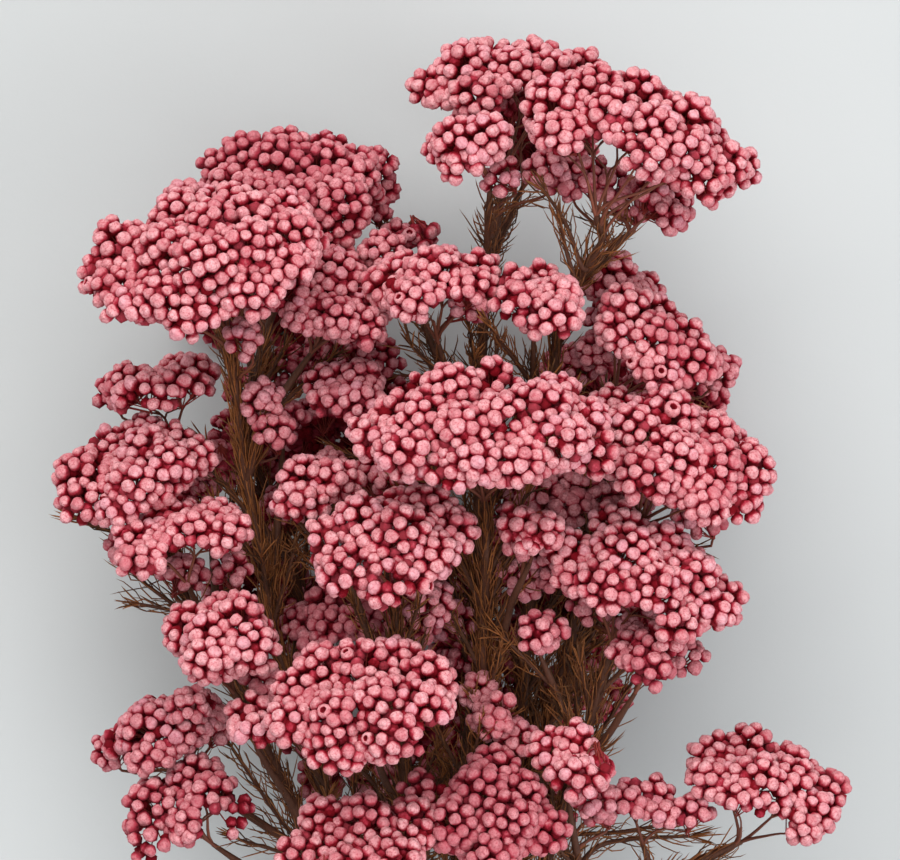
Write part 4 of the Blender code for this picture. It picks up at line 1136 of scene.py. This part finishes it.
class Nodes:
    """Short hand for building a material's nodes."""

    def __init__(self, name):
        self.material = bpy.data.materials.new(name)
        self.material.use_nodes = True
        self.tree = self.material.node_tree
        self.shader = self.tree.nodes["Principled BSDF"]

    def link(self, source, target):
        if isinstance(source, (int, float)):
            target.default_value = source
        elif isinstance(source, tuple):
            target.default_value = (*source, 1.0) if len(source) == 3 and target.type == "RGBA" else source
        else:
            self.tree.links.new(source, target)

    def node(self, kind, inputs, **settings):
        """A new node with its settings, and a value or link for each input by its name or number."""
        made = self.tree.nodes.new("ShaderNode" + kind)
        for key, value in settings.items():
            setattr(made, key, value)
        for key, source in inputs.items():
            self.link(source, made.inputs[key])
        return made

    def fact(self, name, output="Fac"):
        return self.node("Attribute", {}, attribute_name=name).outputs[output]

    def math(self, kind, *values):
        return self.node("Math", dict(enumerate(values)), operation=kind).outputs[0]

    def span(self, value, low, high, to_low=0.0, to_high=1.0):
        inputs = dict(enumerate((value, low, high, to_low, to_high)))
        return self.node("MapRange", inputs, interpolation_type="SMOOTHSTEP").outputs[0]

    def mix(self, factor, a, b):
        return self.node("Mix", {0: factor, 6: a, 7: b}, data_type="RGBA").outputs[2]

    def noise(self, where, scale, detail=2.0, rough=0.5, warp=0.0):
        inputs = {"Vector": where, "Scale": scale, "Detail": detail, "Roughness": rough, "Distortion": warp}
        return self.node("TexNoise", inputs).outputs["Fac"]

    def cells(self, where, scale, feature="DISTANCE_TO_EDGE"):
        return self.node("TexVoronoi", {"Vector": where, "Scale": scale}, feature=feature).outputs["Distance"]

    def stretch(self, where, scale):
        return self.node("Mapping", {"Vector": where, "Scale": scale}).outputs[0]

    def looks(self, colour, roughness, shine, relief, strength, depth):
        """Sets the shader's sockets and returns the material."""
        bump = self.node("Bump", {"Strength": strength, "Distance": depth, "Height": relief})
        for key, source in (("Base Color", colour), ("Roughness", roughness),
                            ("Specular IOR Level", shine), ("Normal", bump.outputs[0])):
            self.link(source, self.shader.inputs[key])
        return self.material


def bud_material(name, deep, mid, pale, blush, mauve):
    """Papery buds: pink above, crimson low down, partly their own colour and partly painted shade, and
    crimson as painted shade where they touch, with specks and bract edges.
    """
    n = Nodes(name)
    own = n.fact("own", "Vector")
    tip = n.fact("tip")
    tone = n.fact("tone")
    crinkle = n.noise(own, 1.3, 2.0, 0.6)
    grain = n.noise(own, 2.1, 3.0, 0.65)
    near = n.cells(own, 0.62, "F1")
    bract = n.span(near, 0.25, 0.75, 1.0, 0.0)
    # The tip value carries the painted shade from strew, which this crimson mix shows
    height = n.math("MULTIPLY_ADD", crinkle, 1.1, n.math("ADD", tip, -0.63))
    colour = n.mix(n.span(height, -1.05, -0.35), deep, mid)
    frost = n.math("MULTIPLY", n.span(height, -0.55, 0.30), n.math("MULTIPLY_ADD", bract, 0.34, 0.64))
    frost = n.math("MULTIPLY", frost, n.span(tone, 0.0, 0.7, 0.66, 1.0))
    colour = n.mix(frost, colour, pale)
    speck = n.math("MULTIPLY", n.span(grain, 0.48, 0.62), n.span(height, -0.6, 0.1, 0.0, 0.5))
    colour = n.mix(speck, colour, mid)
    colour = n.mix(n.span(tone, 0.0, 0.4, 0.30, 0.0), colour, blush)
    colour = n.mix(n.math("MULTIPLY", n.span(tone, 0.6, 1.0, 0.0, 0.4), frost), colour, mauve)
    relief = n.math("MULTIPLY_ADD", bract, 0.7, n.math("ADD", crinkle, n.math("MULTIPLY", grain, 0.5)))
    return n.looks(colour, n.span(grain, 0.2, 0.8, 0.75, 0.95), 0.10, relief, 0.9, 0.00035)


def leaf_material():
    """Stems, rays and needle leaves in one: kind 0 is a stem, about 0.4 a ray, 1 a leaf."""
    n = Nodes("leafy_brown_dry")
    own = n.fact("own", "Vector")
    tone = n.fact("tone")
    kind = n.fact("kind")
    tip = n.fact("tip")
    streak = n.noise(n.stretch(own, (2.2, 0.5, 2.2)), 1.0, 3.0, 0.6)
    grain = n.noise(own, 2.4, 3.0, 0.6)
    stem = n.mix(streak, (0.040, 0.013, 0.007), (0.130, 0.045, 0.022))
    ray = n.mix(n.math("MULTIPLY_ADD", tone, 0.6, n.math("MULTIPLY", grain, 0.4)),
                (0.095, 0.024, 0.014), (0.260, 0.078, 0.044))
    leaf = n.mix(tone, (0.080, 0.017, 0.007), (0.385, 0.132, 0.034))
    leaf = n.mix(n.span(tone, 0.0, 0.35, 0.5, 0.0), leaf, (0.045, 0.032, 0.013))
    leaf = n.mix(n.span(tip, 0.35, 1.0, 0.0, 0.35), leaf, (0.400, 0.160, 0.048))
    leaf = n.mix(n.span(grain, 0.4, 0.8, 0.0, 0.35), leaf, (0.060, 0.018, 0.008))
    ray = n.mix(n.span(kind, 0.42, 0.5, 0.0, 0.75), ray, (0.300, 0.022, 0.020))
    colour = n.mix(n.span(kind, 0.05, 0.3), stem, ray)
    colour = n.mix(n.span(kind, 0.55, 0.9), colour, leaf)
    relief = n.math("ADD", streak, grain)
    return n.looks(colour, n.span(grain, 0.2, 0.8, 0.55, 0.85), 0.3, relief, 0.5, 0.0002)


def bark_material():
    n = Nodes("bark_dry")
    own = n.fact("own", "Vector")
    face = n.fact("kind")
    radius = n.fact("tone")
    long = n.stretch(own, (1.1, 0.16, 1.1))
    streak = n.noise(long, 1.2, 4.0, 0.65, 0.6)
    fine = n.noise(own, 1.9, 3.0, 0.6)
    crack = n.cells(n.stretch(own, (0.75, 0.17, 0.75)), 1.0)
    colour = n.mix(n.span(streak, 0.3, 0.7), (0.055, 0.024, 0.013), (0.205, 0.105, 0.062))
    colour = n.mix(n.span(crack, 0.0, 0.10, 0.75, 0.0), colour, (0.030, 0.014, 0.009))
    colour = n.mix(n.span(fine, 0.55, 0.8, 0.0, 0.4), colour, (0.290, 0.190, 0.125))
    rings = n.math("SINE", n.math("MULTIPLY", n.math("ADD", radius, n.math("MULTIPLY", fine, 0.05)), 38.0))
    wood = n.mix(n.span(rings, -1.0, 1.0), (0.330, 0.205, 0.105), (0.520, 0.370, 0.215))
    wood = n.mix(n.span(radius, 0.10, 0.2, 0.9, 0.0), wood, (0.190, 0.100, 0.050))
    wood = n.mix(n.span(radius, 0.86, 0.96, 0.0, 1.0), wood, (0.080, 0.038, 0.022))
    colour = n.mix(face, colour, wood)
    relief = n.math("ADD", n.math("MULTIPLY", n.span(crack, 0.0, 0.2), 0.8), n.math("MULTIPLY", streak, 0.8))
    return n.looks(colour, n.span(fine, 0.2, 0.8, 0.62, 0.9), 0.3, relief, 0.7, 0.0005)


def floor_material():
    n = Nodes("pale_floor")
    coords = n.tree.nodes.new("ShaderNodeTexCoord").outputs["Object"]
    cloud = n.noise(coords, 5.0, 3.0, 0.5)
    fine = n.noise(coords, 160.0, 3.0, 0.6)
    colour = n.mix(cloud, (0.522, 0.541, 0.547), (0.570, 0.587, 0.591))
    return n.looks(colour, 0.9, 0.2, fine, 0.12, 0.0006)


# The lamps: place, aim, size in metres, power in watts and colour
LAMPS = {
    "key": ((-0.34, 1.13, 1.23), (0.0, 0.05, 0.05), (2.0, 1.6), 29.5, (1.0, 0.985, 0.96)),
    "front": ((0.1, -0.2, 1.7), (0.0, 0.05, 0.0), (1.4, 1.4), 12.2, (1.0, 0.99, 0.98)),
    "low": ((1.3, -0.9, 1.1), (0.12, -0.1, 0.0), (1.2, 1.0), 16.5, (0.95, 0.98, 1.0)),
}
SENSOR = 36.0
FRAME_MIDDLE = (450.0, 430.0)
FLOOR_SIZE = 4.0


def area_light(name, place, aim, size, power, colour):
    lamp = bpy.data.lights.new(name, "AREA")
    lamp.shape = "RECTANGLE"
    lamp.size, lamp.size_y = size
    lamp.energy = power
    lamp.color = colour
    made = placed(name, lamp)
    made.location = place
    made.rotation_euler = (Vector(aim) - Vector(place)).to_track_quat("-Z", "Y").to_euler()


def studio():
    mesh = bpy.data.meshes.new("floor")
    bm = bmesh.new()
    bmesh.ops.create_grid(bm, x_segments=1, y_segments=1, size=FLOOR_SIZE)
    bm.to_mesh(mesh)
    bm.free()
    mesh.materials.append(floor_material())
    floor = placed("floor", mesh)
    world = bpy.data.worlds.new("studio")
    world.use_nodes = True
    world.node_tree.nodes["Background"].inputs["Color"].default_value = (0.86, 0.90, 0.93, 1.0)
    world.node_tree.nodes["Background"].inputs["Strength"].default_value = 0.33
    bpy.context.scene.world = world
    for name, lamp in LAMPS.items():
        area_light(name, *lamp)
    camera = bpy.data.cameras.new("camera")
    camera.sensor_width = SENSOR
    camera.lens = SENSOR * (EYE - REFERENCE) / PHOTO_SCALE / PHOTO_WIDTH
    camera.clip_start = 0.01
    made = placed("camera", camera)
    spot = photo_point(*FRAME_MIDDLE, REFERENCE) - MIDDLE
    made.location = (spot[0] * MM, spot[1] * MM, EYE * MM)
    bpy.context.scene.camera = made
    bpy.context.scene.view_settings.view_transform = "Standard"


heads = [seat(head) for head in HEADS]
lines = bend_clear(grown_lines(heads), heads)
flowers = {head.name: flower_of(head) for head in heads}
# The deep copy is darker throughout: painted shade for heads that lie in shade and for the small clusters
bud_looks = {
    "bright": bud_material("buds_bright_paper", (0.185, 0.003, 0.009), (0.430, 0.030, 0.055),
                           (0.905, 0.450, 0.478), (0.540, 0.100, 0.135), (0.740, 0.310, 0.415)),
    "deep": bud_material("buds_deep_paper", (0.155, 0.003, 0.009), (0.385, 0.027, 0.050),
                         (0.810, 0.365, 0.395), (0.470, 0.075, 0.110), (0.600, 0.225, 0.320)),
}
for flower in flowers.values():
    head_piece(flower, bud_looks[flower.head.tone])
leafy_look = leaf_material()
clusters = small_clusters(lines, heads)
for shoot in SHOOTS:
    shoot_piece(shoot, lines, flowers, heads, clusters, leafy_look, bud_looks["deep"])
trunk_piece(bark_material())
studio()
